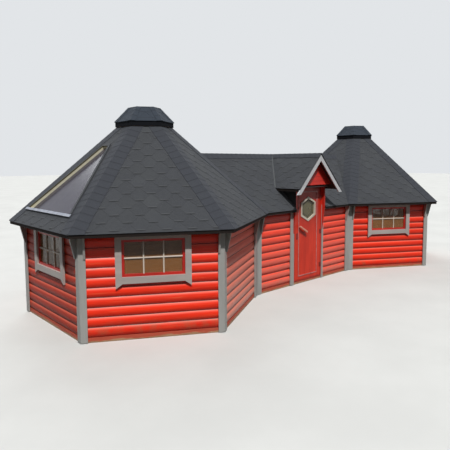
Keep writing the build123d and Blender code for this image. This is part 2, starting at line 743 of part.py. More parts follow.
soffit_top = FRAME_TOP + SEAT + SOFFIT
with BuildPart() as gable_panel:
    with BuildSketch(front_plane(GABLE_PANEL_FACE + GABLE_PANEL)):
        foot = FRAME_TOP + GABLE_PANEL_LIFT
        Polygon(*leaf_span(-GABLE_HALF, GABLE_HALF, foot, MIDDLE_RIDGE), align=None)
    extrude(amount=GABLE_PANEL)
    add(gable_space.part, mode=Mode.INTERSECT)
gable_panel.part.label = "gable_panel"
export_step(gable_panel.part, "parts/gable_panel.step")

with BuildPart() as gable_soffit:
    back = -MIDDLE_HALF + WALL
    front = GABLE_PANEL_FACE + GABLE_PANEL + SEAT
    half = ROUGH_HALF - SEAT
    raise_plan([(-half, back), (-half, front), (half, front), (half, back)], FRAME_TOP + SEAT, soffit_top)
    add(gable_space.part, mode=Mode.INTERSECT)
gable_soffit.part.label = "gable_soffit"
export_step(gable_soffit.part, "parts/gable_soffit.step")

# Cheeks: brackets beside the door that run on up as the sides of the roof over it
cheek_front = -MIDDLE_HALF - CHEEK_DEPTH
cheek_back = -valley(ROUGH_HALF) - GABLE_DROP / MIDDLE_TAN
board_face = -MIDDLE_HALF - SIDE_BOARD - SEAT
roof_under = EAVE_UNDER + MIDDLE_REACH * MIDDLE_TAN + 2 * SEAT
with BuildPart() as door_cheeks:
    for side in (-1, 1):
        with BuildSketch(Plane.YZ.offset(side * (ROUGH_HALF + CHEEK / 2))):
            Polygon(
                (board_face, EAVE_HEIGHT - CHEEK_TAPER),
                (cheek_front, EAVE_HEIGHT),
                (cheek_front, MIDDLE_RIDGE),
                (cheek_back, MIDDLE_RIDGE),
                (cheek_back, roof_under + cheek_back * MIDDLE_TAN),
                (board_face, roof_under + board_face * MIDDLE_TAN),
                align=None,
            )
        extrude(amount=CHEEK / 2, both=True)
    add(gable_space.part, mode=Mode.INTERSECT)
door_cheeks.part.label = "door_cheeks"
export_step(door_cheeks.part, "parts/door_cheeks.step")

# Grey boards on the logs beside the door
with BuildPart() as door_side_boards:
    for side, width in ((-1, SIDE_BOARD_LEFT), (1, SIDE_BOARD_RIGHT)):
        near = side * ROUGH_HALF
        far = side * (ROUGH_HALF + width)
        back = -MIDDLE_HALF - SEAT
        front = -MIDDLE_HALF - SIDE_BOARD
        raise_plan([(near, back), (near, front), (far, front), (far, back)], BOARD_FOOT, ROOM_APEX)
    add(roof_space.part, mode=Mode.INTERSECT)
door_side_boards.part.label = "door_side_boards"
export_step(door_side_boards.part, "parts/door_side_boards.step")

# Door frame: two jambs, with the threshold and the head between them
with BuildPart() as door_frame:
    jamb_outer = DOOR_HALF + JAMB
    between = DOOR_HALF - SEAT
    with BuildSketch(front_plane(-MIDDLE_HALF + WALL)):
        Polygon(*leaf_span(-jamb_outer, -DOOR_HALF, SILL_HEIGHT, FRAME_TOP), align=None)
        Polygon(*leaf_span(DOOR_HALF, jamb_outer, SILL_HEIGHT, FRAME_TOP), align=None)
        Polygon(*leaf_span(-between, between, SILL_HEIGHT, SILL_HEIGHT + THRESHOLD), align=None)
        Polygon(*leaf_span(-between, between, DOOR_TOP, FRAME_TOP), align=None)
    extrude(amount=WALL + FRAME_PROUD)
door_frame.part.label = "door_frame"
export_step(door_frame.part, "parts/door_frame.step")


def door_window_sketch(plane, margin):
    """Six-cornered outline of the window in the door, grown by a margin."""
    with BuildSketch(plane) as outline:
        Polygon(
            (0, DOOR_WINDOW_TIP_LOW),
            (DOOR_WINDOW_HALF, DOOR_WINDOW_LOW),
            (DOOR_WINDOW_HALF, DOOR_WINDOW_HIGH),
            (0, DOOR_WINDOW_TIP_HIGH),
            (-DOOR_WINDOW_HALF, DOOR_WINDOW_HIGH),
            (-DOOR_WINDOW_HALF, DOOR_WINDOW_LOW),
            align=None,
        )
        offset(amount=margin, kind=Kind.INTERSECTION, mode=Mode.REPLACE)
    return outline.sketch


# Door leaf with a raised bead around its panel
with BuildPart() as door_leaf:
    with BuildSketch(front_plane(FRAME_FACE)):
        Polygon(*leaf_span(LEAF_LEFT, LEAF_RIGHT, LEAF_BOTTOM, LEAF_TOP), align=None)
    extrude(amount=-LEAF)
    with BuildSketch(front_plane(FRAME_FACE)):
        left = LEAF_LEFT + BEAD_LEFT
        right = LEAF_RIGHT - BEAD_RIGHT
        low = LEAF_BOTTOM + BEAD_BOTTOM
        high = LEAF_TOP - BEAD_TOP
        Polygon(*leaf_span(left, right, low, high), align=None)
        left += BEAD_WIDTH
        right -= BEAD_WIDTH
        low += BEAD_WIDTH
        high -= BEAD_WIDTH
        Polygon(*leaf_span(left, right, low, high), align=None, mode=Mode.SUBTRACT)
    extrude(amount=BEAD_PROUD)
    extrude(door_window_sketch(front_plane(FRAME_FACE), SEAT), amount=LEAF, both=True, mode=Mode.SUBTRACT)
door_leaf.part.label = "door_leaf"
export_step(door_leaf.part, "parts/door_leaf.step")

rim_depth = LEAF + 2 * DOOR_WINDOW_PROUD
with BuildPart() as door_window_frame:
    front = front_plane(FRAME_FACE - DOOR_WINDOW_PROUD)
    extrude(door_window_sketch(front, 0), amount=-rim_depth)
    extrude(door_window_sketch(front, -DOOR_WINDOW_RIM), amount=-rim_depth, mode=Mode.SUBTRACT)
door_window_frame.part.label = "door_window_frame"
export_step(door_window_frame.part, "parts/door_window_frame.step")

with BuildPart() as door_window_glass:
    middle = front_plane(FRAME_FACE + LEAF / 2)
    extrude(door_window_sketch(middle, -DOOR_WINDOW_RIM - SEAT), amount=GLASS / 2, both=True)
door_window_glass.part.label = "door_window_glass"
export_step(door_window_glass.part, "parts/door_window_glass.step")

# Slanting wooden pull on two round posts
handle_length = math.hypot(HANDLE_RUN, HANDLE_FALL)
handle_middle = (HANDLE_LEFT + HANDLE_RUN / 2, FRAME_FACE - SEAT, HANDLE_TOP - HANDLE_FALL / 2)
handle_plane = Plane(origin=handle_middle, x_dir=(HANDLE_RUN, 0, -HANDLE_FALL), z_dir=(0, -1, 0))
post_reach = handle_length / 2 - HANDLE_POST_INSET
with BuildPart() as door_handle:
    with BuildSketch(handle_plane):
        with Locations((-post_reach, 0), (post_reach, 0)):
            Circle(HANDLE_POST)
    extrude(amount=HANDLE_STAND)
    with BuildSketch(handle_plane.offset(HANDLE_STAND)):
        SlotOverall(handle_length, HANDLE_WIDTH)
    extrude(amount=HANDLE_THICKNESS)
door_handle.part.label = "door_handle"
export_step(door_handle.part, "parts/door_handle.step")

with BuildPart() as door_lock:
    with BuildSketch(front_plane(FRAME_FACE - SEAT)):
        with Locations((LOCK_X, LOCK_Z)):
            RectangleRounded(LOCK_WIDTH, LOCK_HEIGHT, LOCK_WIDTH / 4)
    extrude(amount=LOCK_PLATE)
door_lock.part.label = "door_lock"
export_step(door_lock.part, "parts/door_lock.step")


def add_hinge_half(x_turn, knuckle_low):
    """Adds one half of each hinge: a plate, and a knuckle around the pin on a short tongue."""
    back = FRAME_FACE - SEAT
    front = back - HINGE_PLATE
    near = HINGE_X + x_turn * (HINGE_RADIUS + HINGE_CLEARANCE)
    far = near + x_turn * HINGE_PLATE_WIDTH
    for height in HINGE_HEIGHTS:
        low = height - HINGE_LENGTH / 2
        knuckle_foot = low + knuckle_low
        knuckle_head = knuckle_foot + HINGE_LENGTH / 2 - SEAT
        raise_plan([(near, back), (near, front), (far, front), (far, back)], low, low + HINGE_LENGTH)
        tongue = [(HINGE_X, back), (HINGE_X, front), (near, front), (near, back)]
        raise_plan(tongue, knuckle_foot, knuckle_head)
        with BuildSketch(Plane.XY.offset(knuckle_foot)) as knuckle:
            with Locations((HINGE_X, HINGE_Y)):
                Circle(HINGE_RADIUS)
        extrude(knuckle.sketch, amount=knuckle_head - knuckle_foot)


with BuildPart() as frame_hinges:
    add_hinge_half(1, 0)
frame_hinges.part.label = "frame_hinges"
export_step(frame_hinges.part, "parts/frame_hinges.step")

with BuildPart() as leaf_hinges:
    add_hinge_half(-1, HINGE_LENGTH / 2 + SEAT)
leaf_hinges.part.label = "leaf_hinges"
export_step(leaf_hinges.part, "parts/leaf_hinges.step")


# Small roofs over the smoke holes, each held by six uprights inside the hole
def cap_board(room, degrees):
    """One sloping side of a small roof."""
    slope = CAP_RISE / (CAP_LOW - CAP_HIGH)
    drop = CAP_BOARD * math.sqrt(1 + slope * slope)
    plan = face_plan(room, degrees, CAP_LOW - CAP_FASCIA - SEAT, CAP_HIGH)
    return slab((room * ROOM_X, 0), bearing(degrees), CAP_LOW, CAP_LOW_HEIGHT, slope, drop, plan)


def cap_post_plan(room, degrees):
    """Plan of an upright that stands against the roof panel's upper end."""
    outer = SMOKE_HOLE - SEAT
    inner = outer - POST_THICKNESS
    half = POST_WIDTH / 2
    points = ((outer, -half), (outer, half), (inner, half), (inner, -half))
    return [room_point(room, degrees, reach, sideways) for reach, sideways in points]


post_foot = ROOM_APEX - SMOKE_HOLE * ROOM_TAN - ROOF_DROP
for name, room in (("left", -1), ("right", 1)):
    with BuildPart() as cap:
        for degrees in range(0, 360, 60):
            add(cap_board(room, degrees))
            raise_plan(face_plan(room, degrees, CAP_LOW, CAP_LOW - CAP_FASCIA), CAP_FOOT, CAP_LOW_HEIGHT)
        with BuildSketch(Plane.XY.offset(CAP_TOP)):
            room_hexagon(room, CAP_HIGH - SEAT)
        extrude(amount=-CAP_BOARD)
    cap.part.label = f"{name}_cap"
    export_step(cap.part, f"parts/{name}_cap.step")

with BuildPart() as cap_posts:
    for room in (-1, 1):
        for degrees in range(0, 360, 60):
            raise_plan(cap_post_plan(room, degrees), post_foot, CAP_TOP - CAP_BOARD - SEAT)
cap_posts.part.label = "cap_posts"
export_step(cap_posts.part, "parts/cap_posts.step")
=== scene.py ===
"""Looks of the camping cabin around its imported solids: materials, shingles, window bars, stage and light."""
import math
import random

import bpy
from mathutils import Matrix, Vector


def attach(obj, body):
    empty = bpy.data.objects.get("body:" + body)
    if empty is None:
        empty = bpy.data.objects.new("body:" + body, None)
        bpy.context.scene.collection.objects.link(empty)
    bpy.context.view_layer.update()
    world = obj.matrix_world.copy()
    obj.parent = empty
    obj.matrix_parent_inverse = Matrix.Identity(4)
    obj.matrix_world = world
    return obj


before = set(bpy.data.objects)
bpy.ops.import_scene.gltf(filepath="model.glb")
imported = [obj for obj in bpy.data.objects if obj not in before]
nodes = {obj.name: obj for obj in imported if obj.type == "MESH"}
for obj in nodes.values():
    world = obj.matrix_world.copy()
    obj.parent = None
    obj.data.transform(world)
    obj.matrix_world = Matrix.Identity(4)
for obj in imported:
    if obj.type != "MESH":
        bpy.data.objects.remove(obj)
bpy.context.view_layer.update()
dice = random.Random(7)

# Sizes of the cabin, in metres, as in the part's source
SIDE = 1.9
COURSE = 0.132
SILL = 0.066
EAVE = 1.466
ROOM_X = 3.09045
ROOM_PITCH = math.radians(45)
ROOF_REACH = 1.83045
MIDDLE_HALF = 0.95
MIDDLE_REACH = 1.047
MIDDLE_PITCH = math.radians(44.8)
MIDDLE_TAN = math.tan(MIDDLE_PITCH)
VALLEY_START = ROOF_REACH - MIDDLE_REACH * MIDDLE_TAN
SMOKE_HOLE = 0.19
RIDGE = EAVE + MIDDLE_REACH * MIDDLE_TAN
GABLE_HALF = 0.62
GABLE_PITCH = math.radians(46)
GABLE_TAN = math.tan(GABLE_PITCH)
GABLE_VALLEY = GABLE_TAN / MIDDLE_TAN
GABLE_EAVE = RIDGE - GABLE_HALF * GABLE_TAN
GABLE_DROP = 0.0518
BARGE_FRONT = -1.232 - 0.0225
GABLE_FACE = -1.125
GABLE_FOOT = 1.9147
CAP_LOW = 0.407
CAP_HIGH = 0.2165
CAP_EAVE = 3.00645
CAP_RISE = 0.226
CAP_PITCH = math.atan(CAP_RISE / (CAP_LOW - CAP_HIGH))
CAP_TOP = CAP_EAVE + CAP_RISE
SKYLIGHT_LOW = 1.66
SKYLIGHT_HIGH = 0.672
SKYLIGHT_LOW_HALF = 0.783
SKYLIGHT_HIGH_HALF = 0.115
CURB_TOP = 0.03
CHEEK_OUTER = 0.4583
DOOR_FACE = -0.956
HIP = math.tan(math.radians(30))
DIAGONAL = math.cos(math.radians(45))

# Shingles: tabs in rows, folded shingles in strips, and edging; widths of strips at both ends
PITCH = 0.333
EXPOSURE = 0.125
TAB_FLAT = 0.118
TAB_RISE = 0.118
TAB_GAP = 0.0015
TAB_LIFT = 0.0008
TAB_WANDER = 0.0015
COVER = 0.268
FIRST_ROW = 0.035
CAP_FIRST_ROW = 0.06
SHEET = 0.0036
TAB_LOW = 0.0074
TAB_HIGH = 0.0036
EAVE_LIP = 0.010
JOINT = 0.002
TAB_HALF = PITCH / 2 - TAB_GAP
TAB = [(-TAB_FLAT / 2, 0), (TAB_FLAT / 2, 0), (TAB_HALF, TAB_RISE)]
TAB += [(TAB_HALF, COVER), (-TAB_HALF, COVER), (-TAB_HALF, TAB_RISE)]
STRIP_SHEET = 0.006
STRIP_LOW = 0.0132
STRIP_HIGH = 0.0092
STRIP_COVER = 1.9
STRIP_WANDER = 0.004
ROOM_STRIP = (0.182, 0.168)
RIDGE_STRIP = (0.125, 0.125)
GABLE_STRIP = (0.1, 0.1)
CAP_STRIP = (0.07, 0.06)
CAP_STRIP_EXPOSURE = 0.12
CAP_FLAT = 0.262
CAP_SHEET = (0.0075, 0.001)
GABLE_LIP = 0.006
VALLEY_GAP = 0.016
VALLEY_LINE = 0.026
VALLEY_LINE_TOP = 0.0135
VALLEY_LINE_SHEET = 0.004
VALLEY_LINE_END = 0.03
LEAST_AREA = 2e-5
ALMOST = 1e-5

# Windows: the panes' edges, and bars whose depths are counted from the wall's face
WINDOWS = [(-1, 120), (-1, 180), (-1, 240), (1, 240), (1, 300), (1, 0), (1, 60), (1, 120)]
PANE_LOW = 0.886
PANE_HIGH = 1.321
PANE_HALF = 0.387
BAR_X = 0.133
BAR_Z = 1.1
BAR_WIDTH = 0.019
BAR_CHAMFER = 0.004
BAR_SETBACK = 0.0006
GLASS_FRONT = -0.0194
BAR_DEPTHS = ((GLASS_FRONT, -0.005, BAR_CHAMFER), (-0.0256, -0.036, -BAR_CHAMFER))
BEAD_WIDTH = 0.0058
BEAD_FRONT = -0.012
BEAD_SETBACK = 0.0004
BEAD_CHAMFER = 0.0025
BEAD_INSET = 0.003

# The door's window, its lead lines, and the boards of the gable
HEXAGON_HALF = 0.226
HEXAGON_HEIGHTS = (1.2017, 1.3137, 1.5737, 1.6857)
RIM_MARGIN = 0.036
LEAD_MARGIN = 0.084
LEAD_Y = DOOR_FACE + 0.017
LEAD_SHAPE = (0.008, -0.002, 0.0025, 0.0015)
BOARD_HEIGHT = 0.078
LEAST_BOARD = 0.028
BOARD_SHEET = 0.009
BOARD_STEP = 0.003
BOARD_GAP = 0.0004
BOARD_HALF = 0.436
BOARD_TIP = 0.006
BOARD_APEX = RIDGE - 0.166
BOARD_TOP = RIDGE - 0.172
BOARD_TAPER = 0.55
FLOOR_BOARD = 0.112
ROOF_BOARD = 0.068

# Colours in 0..255 as a picture shows them, then gloss, roughness and how light plain sheet is
RED_LIGHT = (250, 50, 14)
RED_DARK = (222, 36, 9)
RED_DEEP = (100, 12, 5)
BOARD_RED = ((212, 50, 32), (168, 32, 20))
# Worn paint on the logs' crests, partly painted highlight
CREST_WEAR_AND_HIGHLIGHT_RED = (240, 120, 78)
SPLASHED_RED = (150, 96, 66)
# Painted light on the logs: light from the ground with dust, shade on the end walls, highlight on tops, shade
# on undersides and in grooves
DUST_AND_BOUNCE_RED = (216, 150, 132)
END_SHADE_RED = (112, 50, 34)
TOP_HIGHLIGHT_RED = (255, 168, 140)
UNDERSIDE_SHADE_RED = (126, 18, 4)
GROOVE_SHADE_RED = (74, 12, 7)
PINE_LIGHT = (214, 176, 126)
PINE_DARK = (178, 130, 80)
KNOT = (112, 66, 34)
PAINT_GLOSS = 0.42
END_GLOSS = 0.1
DOOR_GLOSS = 0.3
GLASS_GLOSS = 0.4
ROOF_BOARD_GLOSS = 0.15
SHEET_ROUGHNESS = 0.92
SHEET_BRIGHTNESS = 0.96144
PANEL_BRIGHTNESS = 0.98872


# Shader helpers

class Wire:
    """A shader node's result. Sums and comparisons with it add Math nodes to its tree."""

    def __init__(self, tree, socket):
        self.tree = tree
        self.socket = socket

    def __add__(self, other):
        return calc("ADD", self, other)

    def __radd__(self, other):
        return calc("ADD", other, self)

    def __sub__(self, other):
        return calc("SUBTRACT", self, other)

    def __rsub__(self, other):
        return calc("SUBTRACT", other, self)

    def __mul__(self, other):
        return calc("MULTIPLY", self, other)

    def __truediv__(self, other):
        return calc("DIVIDE", self, other)

    def __gt__(self, other):
        return calc("GREATER_THAN", self, other)

    def __lt__(self, other):
        return calc("LESS_THAN", self, other)


def node(tree, kind, values=None, **settings):
    """Adds a shader node; values maps its inputs to constants or wires."""
    made = tree.nodes.new(f"ShaderNode{kind}")
    for key, value in settings.items():
        setattr(made, key, value)
    for key, value in (values or {}).items():
        if isinstance(value, Wire):
            tree.links.new(value.socket, made.inputs[key])
        else:
            made.inputs[key].default_value = value
    return made


def wire(tree, kind, values=None, output=0, **settings):
    """Adds a shader node and gives one of its results."""
    return Wire(tree, node(tree, kind, values, **settings).outputs[output])


def tree_of(*values):
    """The node tree of the first wire among the values."""
    return next(value.tree for value in values if isinstance(value, Wire))


def linear(colour):
    """The linear value of a colour given in 0..255 as a picture shows it."""
    shares = [channel / 255 for channel in colour]
    return (*[s / 12.92 if s <= 0.04045 else ((s + 0.055) / 1.055) ** 2.4 for s in shares], 1.0)


def calc(operation, first, second=0.0):
    """Result of one sum."""
    return wire(tree_of(first, second), "Math", {0: first, 1: second}, operation=operation)


def vector_calc(operation, first, second, output=0):
    """Result of one vector sum."""
    return wire(first.tree, "VectorMath", {0: first, 1: second}, output, operation=operation)


def dot(first, second):
    """Product of two vectors as a number."""
    return vector_calc("DOT_PRODUCT", first, second, 1)


def scaled(vector, x, y, z):
    """A vector with each of its numbers multiplied."""
    return vector_calc("MULTIPLY", vector, (x, y, z))


def step(value, low, high, start=0.0, end=1.0):
    """Smooth step from start to end while value goes from low to high."""
    values = {"Value": value, "From Min": low, "From Max": high, "To Min": start, "To Max": end}
    return wire(value.tree, "MapRange", values, interpolation_type="SMOOTHSTEP")


def between(share, first, second):
    """The number that lies a share of the way from the first to the second."""
    return first + share * (second - first)


def blend(amount, first, second):
    """Mixes two colours, each a wire or a picture's colour."""
    colours = [colour if isinstance(colour, Wire) else linear(colour) for colour in (first, second)]
    values = {0: amount, 6: colours[0], 7: colours[1]}
    return wire(tree_of(amount, first, second), "Mix", values, 2, data_type="RGBA")


def brightened(colour, value):
    """A colour made lighter or darker."""
    return wire(colour.tree, "HueSaturation", {"Color": colour, "Value": value})


def noise(vector, scale, detail=2.0, roughness=0.5):
    """Noise between 0 and 1."""
    values = {"Vector": vector, "Scale": scale, "Detail": detail, "Roughness": roughness}
    return wire(vector.tree, "TexNoise", values, "Fac")


def parts_of(vector):
    """The three numbers of a vector."""
    made = node(vector.tree, "SeparateXYZ", {0: vector})
    return [Wire(vector.tree, output) for output in made.outputs]


def join(x, y, z):
    """A vector from three numbers."""
    return wire(tree_of(x, y, z), "CombineXYZ", {0: x, 1: y, 2: z})


def new_material(name):
    """An empty node material and its tree."""
    material = bpy.data.materials.new(name)
    material.use_nodes = True
    material.node_tree.nodes.clear()
    return material, material.node_tree


def finish(material, colour, roughness, height=None, depth=0.001, gloss=0.5, metallic=0.0, alpha=1.0):
    """Ends a material in a Principled shader, with relief where a height is given."""
    tree = material.node_tree
    values = {"Base Color": colour, "Roughness": roughness, "Metallic": metallic, "Alpha": alpha}
    values["Specular IOR Level"] = gloss
    if height is not None:
        values["Normal"] = wire(tree, "Bump", {"Strength": 1.0, "Distance": depth, "Height": height})
    node(tree, "OutputMaterial", {0: wire(tree, "BsdfPrincipled", values)})
    return material


def own_place(tree):
    """Where a point lies in the cabin's frame, whatever the pose."""
    return wire(tree, "TexCoord", output="Object")


def own_normal(tree):
    """Which way a surface faces in the cabin's frame."""
    return wire(tree, "TexCoord", output="Normal")


def stored(tree, name):
    """A vector that the mesh carries."""
    return wire(tree, "Attribute", output="Vector", attribute_name=name)


def stored_grain(tree):
    """Coordinates that the mesh carries for its own boards."""
    return stored(tree, "grain")


def level_grain(tree):
    """Coordinates whose first number runs level along an upright face, for logs and rails."""
    x, y, z = parts_of(own_place(tree))
    nx, ny, _ = parts_of(own_normal(tree))
    length = calc("MAXIMUM", calc("SQRT", nx * nx + ny * ny), 0.001)
    nx = nx / length
    ny = ny / length
    return join(y * nx - x * ny, z, x * nx + y * ny)


def upright_grain(tree):
    """Coordinates whose first number runs upwards, for upright boards."""
    along, up, out = parts_of(level_grain(tree))
    return join(up, along, out)


def grain(vector):
    """Fine fibres, broad figure and knots of softwood, from coordinates that start along the wood."""
    fine = noise(scaled(vector, 3.5, 190, 190), 1.0, 5, 0.62)
    bent = noise(scaled(vector, 0.55, 7, 7), 1.0)
    rings = step(calc("SINE", bent * 62.0), -0.7, 1.0)
    cells = node(vector.tree, "TexVoronoi", {"Vector": scaled(vector, 2.2, 9, 9), "Scale": 1.0})
    distance, colour = (Wire(vector.tree, cells.outputs[key]) for key in ("Distance", "Color"))
    knots = step(distance, 0.05, 0.13, 1.0, 0.0) * (parts_of(colour)[0] > 0.66)
    return fine, rings, knots


def coursed(vector, level, foot, height):
    """For logs or boards of one height: distance to the nearer edge, own tone, and shifted coordinates."""
    share = (level - foot) / height
    number = calc("FLOOR", share)
    share = share - number
    edge = calc("MINIMUM", share, 1.0 - share) * height
    facing = calc("FLOOR", parts_of(vector)[2] * 3.1)
    tone = wire(vector.tree, "TexWhiteNoise", {"Vector": join(number, facing, 0.5)}, "Value")
    return edge, tone, vector_calc("ADD", vector, join(tone * 9.0, 0.0, tone))


def pine(vector, light=PINE_LIGHT, dark=PINE_DARK, knot=KNOT):
    """Colour and height of bare softwood."""
    fine, rings, knots = grain(vector)
    colour = blend(rings * 0.55, light, dark)
    colour = blend(step(fine, 0.35, 0.75, 0.0, 0.45), colour, dark)
    colour = blend(knots * 0.8, colour, knot)
    return colour, fine * 0.6 + rings * 0.25


def paint(vector, light, dark, deep=RED_DEEP):
    """Colour, roughness and height of softwood under a thin coat of paint."""
    fine, rings, knots = grain(vector)
    cloud = noise(scaled(vector, 1.3, 6, 6), 1.0, 3, 0.55)
    colour = blend(step(cloud, 0.3, 0.75, 0.0, 0.75), light, dark)
    colour = blend(rings * 0.16, colour, dark)
    colour = blend(step(fine, 0.5, 0.8, 0.0, 0.3), colour, deep)
    colour = blend(knots * 0.35, colour, deep)
    return colour, 0.33 + fine * 0.16, fine * 0.5 + rings * 0.3 - knots * 0.25


def charcoal(vector, brightness):
    """Colour and height of mineral granules on bitumen sheet."""
    speckle = noise(vector, 420.0, 2, 0.7)
    coarse = noise(vector, 95.0, 3, 0.6)
    cloud = noise(vector, 1.6, 3, 0.55)
    colour = blend(step(speckle, 0.36, 0.66), (38, 40, 44), (70, 73, 78))
    colour = blend(step(coarse, 0.45, 0.7, 0.0, 0.3), colour, (31, 33, 37))
    colour = blend(step(cloud, 0.4, 0.75, 0.0, 0.3), colour, (66, 69, 70))
    return brightened(colour, brightness), speckle + coarse * 0.5


def tab_brightness(tone):
    """How light a shingle is, from its own tone."""
    return step(tone, 0.0, 1.0, 0.95, 1.06)


# Materials

def log_material(name, end_wall=False):
    """Red painted logs outside, bare wood inside; painted highlight on the log tops, painted shade on their
    undersides and in the grooves, painted ground light on some walls; the end walls get painted shade in a
    browner red and have less gloss.
    """
    material, tree = new_material(name)
    place = own_place(tree)
    x, y, z = parts_of(place)
    nx, ny, nz = parts_of(own_normal(tree))
    edge, tone, shifted = coursed(level_grain(tree), z, SILL, COURSE)
    colour, roughness, height = paint(shifted, RED_LIGHT, RED_DARK)
    colour = brightened(colour, step(tone, 0, 1, 0.88, 1.06))
    patches = noise(scaled(shifted, 2.6, 30, 30), 1.0, 3, 0.6)
    # Lighter patches on the crests of the logs: worn paint, partly painted highlight.
    worn = step(edge, 0.03, 0.062) * step(patches, 0.5, 0.78, 0.0, 0.28)
    colour = blend(worn, colour, CREST_WEAR_AND_HIGHLIGHT_RED)
    splash = noise(scaled(place, 7, 7, 7), 1.0, 4, 0.6)
    low = step(z, 0.07, 0.34, 1.0, 0.0) * step(splash, 0.42, 0.7, 0.0, 0.5)
    colour = blend(low, colour, SPLASHED_RED)
    # Paler paint, most at the bottom, on the middle front walls and on the left room's inner front wall:
    # painted light from the pale ground, with some dust.
    dust_and_bounce = step(z, 0.2, 1.25, 0.42, 0.1) * step(ny, -0.97, -0.93, 1.0, 0.0)
    corner = (x < -MIDDLE_HALF) * step(nx, 0.3, 0.5) * (ny < 0.0) * step(z, 0.1, 1.2, 0.8, 0.5)
    colour = blend(calc("MAXIMUM", dust_and_bounce, corner), colour, DUST_AND_BOUNCE_RED)
    # Painted shade on the end walls: a darker, browner red, weaker on faces that look up.
    if end_wall:
        colour = blend(step(nz, 0.2, 0.54, 0.6, 0.35), colour, END_SHADE_RED)
    # Painted highlight on the tops of the logs.
    colour = blend(step(nz, 0.2, 0.54, 0.0, 0.3), colour, TOP_HIGHLIGHT_RED)
    # Painted shade on the undersides of the logs.
    colour = blend(step(nz, -0.54, -0.08, 0.52, 0.0), colour, UNDERSIDE_SHADE_RED)
    # Painted shade in the grooves between logs.
    colour = blend(step(edge, 0.001, 0.010, 0.9, 0.0), colour, GROOVE_SHADE_RED)
    inner_colour, inner_height = pine(shifted)
    inner_colour = blend(step(edge, 0.0015, 0.005, 0.8, 0.0), inner_colour, KNOT)
    room = calc("SIGN", x) * ROOM_X
    inside = nx * (x - room) + ny * y < 0.0
    colour = blend(inside, colour, inner_colour)
    height = between(inside, height, inner_height)
    gloss = END_GLOSS if end_wall else PAINT_GLOSS
    return finish(material, colour, roughness + inside * 0.2, height, 0.0012, gloss)


def beam_material():
    """Bottom beams: faded paint above, bare wood below, with painted shade at the foot."""
    material, tree = new_material("faded_beams")
    vector = level_grain(tree)
    place = own_place(tree)
    z = parts_of(place)[2]
    wood, height = pine(vector, (188, 148, 114), (150, 108, 78), (110, 70, 42))
    faded = blend(step(grain(vector)[0], 0.35, 0.7), (200, 96, 72), (164, 62, 46))
    patches = noise(scaled(place, 5, 5, 14), 1.0, 4, 0.6)
    line = z + (patches - 0.5) * 0.09
    colour = blend(step(line, 0.014, 0.036), wood, faded)
    # Painted shade where the beams meet the floor.
    colour = blend(step(z, 0.0, 0.012, 0.7, 0.0), colour, (84, 62, 48))
    return finish(material, colour, 0.6, height, gloss=PAINT_GLOSS)


def painted_material(name, coordinates, light, dark, deep=RED_DEEP):
    """Painted boards whose grain follows the given coordinates."""
    material, tree = new_material(name)
    colour, roughness, height = paint(coordinates(tree), light, dark, deep)
    return finish(material, colour, roughness, height, 0.0008, PAINT_GLOSS)


def cheek_material():
    """Cheeks beside the door: red paint, with dark sheet on their outer sides above the eave, darkened further
    as painted shade.
    """
    material, tree = new_material("red_cheeks")
    colour, roughness, height = paint(upright_grain(tree), *BOARD_RED)
    place = own_place(tree)
    x, _, z = parts_of(place)
    nx = parts_of(own_normal(tree))[0]
    # Painted shade on the outer sides above the eave: dark sheet, darkened further.
    outer = (nx * calc("SIGN", x) > 0.7) * step(z, EAVE - 0.05, EAVE + 0.03)
    sheet, _ = charcoal(place, SHEET_BRIGHTNESS)
    colour = blend(outer, colour, blend(0.6, sheet, (24, 18, 17)))
    roughness = between(outer, roughness, SHEET_ROUGHNESS)
    return finish(material, colour, roughness, height, 0.0008, PAINT_GLOSS)


def door_material():
    """Red door, darker towards its shaded top, with a paler bead around its panel."""
    material, tree = new_material("door_paint")
    colour, roughness, height = paint(upright_grain(tree), (228, 60, 34), (196, 42, 22))
    place = own_place(tree)
    _, y, z = parts_of(place)
    colour = blend(step(z, 0.8, 1.5, 0.0, 0.5), colour, (120, 22, 12))
    worn = noise(place, 14.0, 3, 0.6)
    pale = blend(step(worn, 0.35, 0.7), (198, 132, 130), (176, 104, 102))
    colour = blend(y < DOOR_FACE - 0.0015, colour, pale)
    return finish(material, colour, roughness - 0.06, height, 0.0007, DOOR_GLOSS)


def bare_material(name, coordinates, light, dark):
    """Bare softwood."""
    material, tree = new_material(name)
    colour, height = pine(coordinates(tree), light, dark)
    return finish(material, colour, 0.62, height)


def floor_material():
    """Bare boards that run along the cabin, with joints between them."""
    material, tree = new_material("floor_boards")
    place = own_place(tree)
    edge, _, shifted = coursed(place, parts_of(place)[1], 0.0, FLOOR_BOARD)
    colour, height = pine(shifted)
    colour = blend(step(edge, 0.0015, 0.005, 0.85, 0.0), colour, KNOT)
    height = height + step(edge, 0.001, 0.006, -1.5, 0.0)
    return finish(material, colour, 0.62, height)


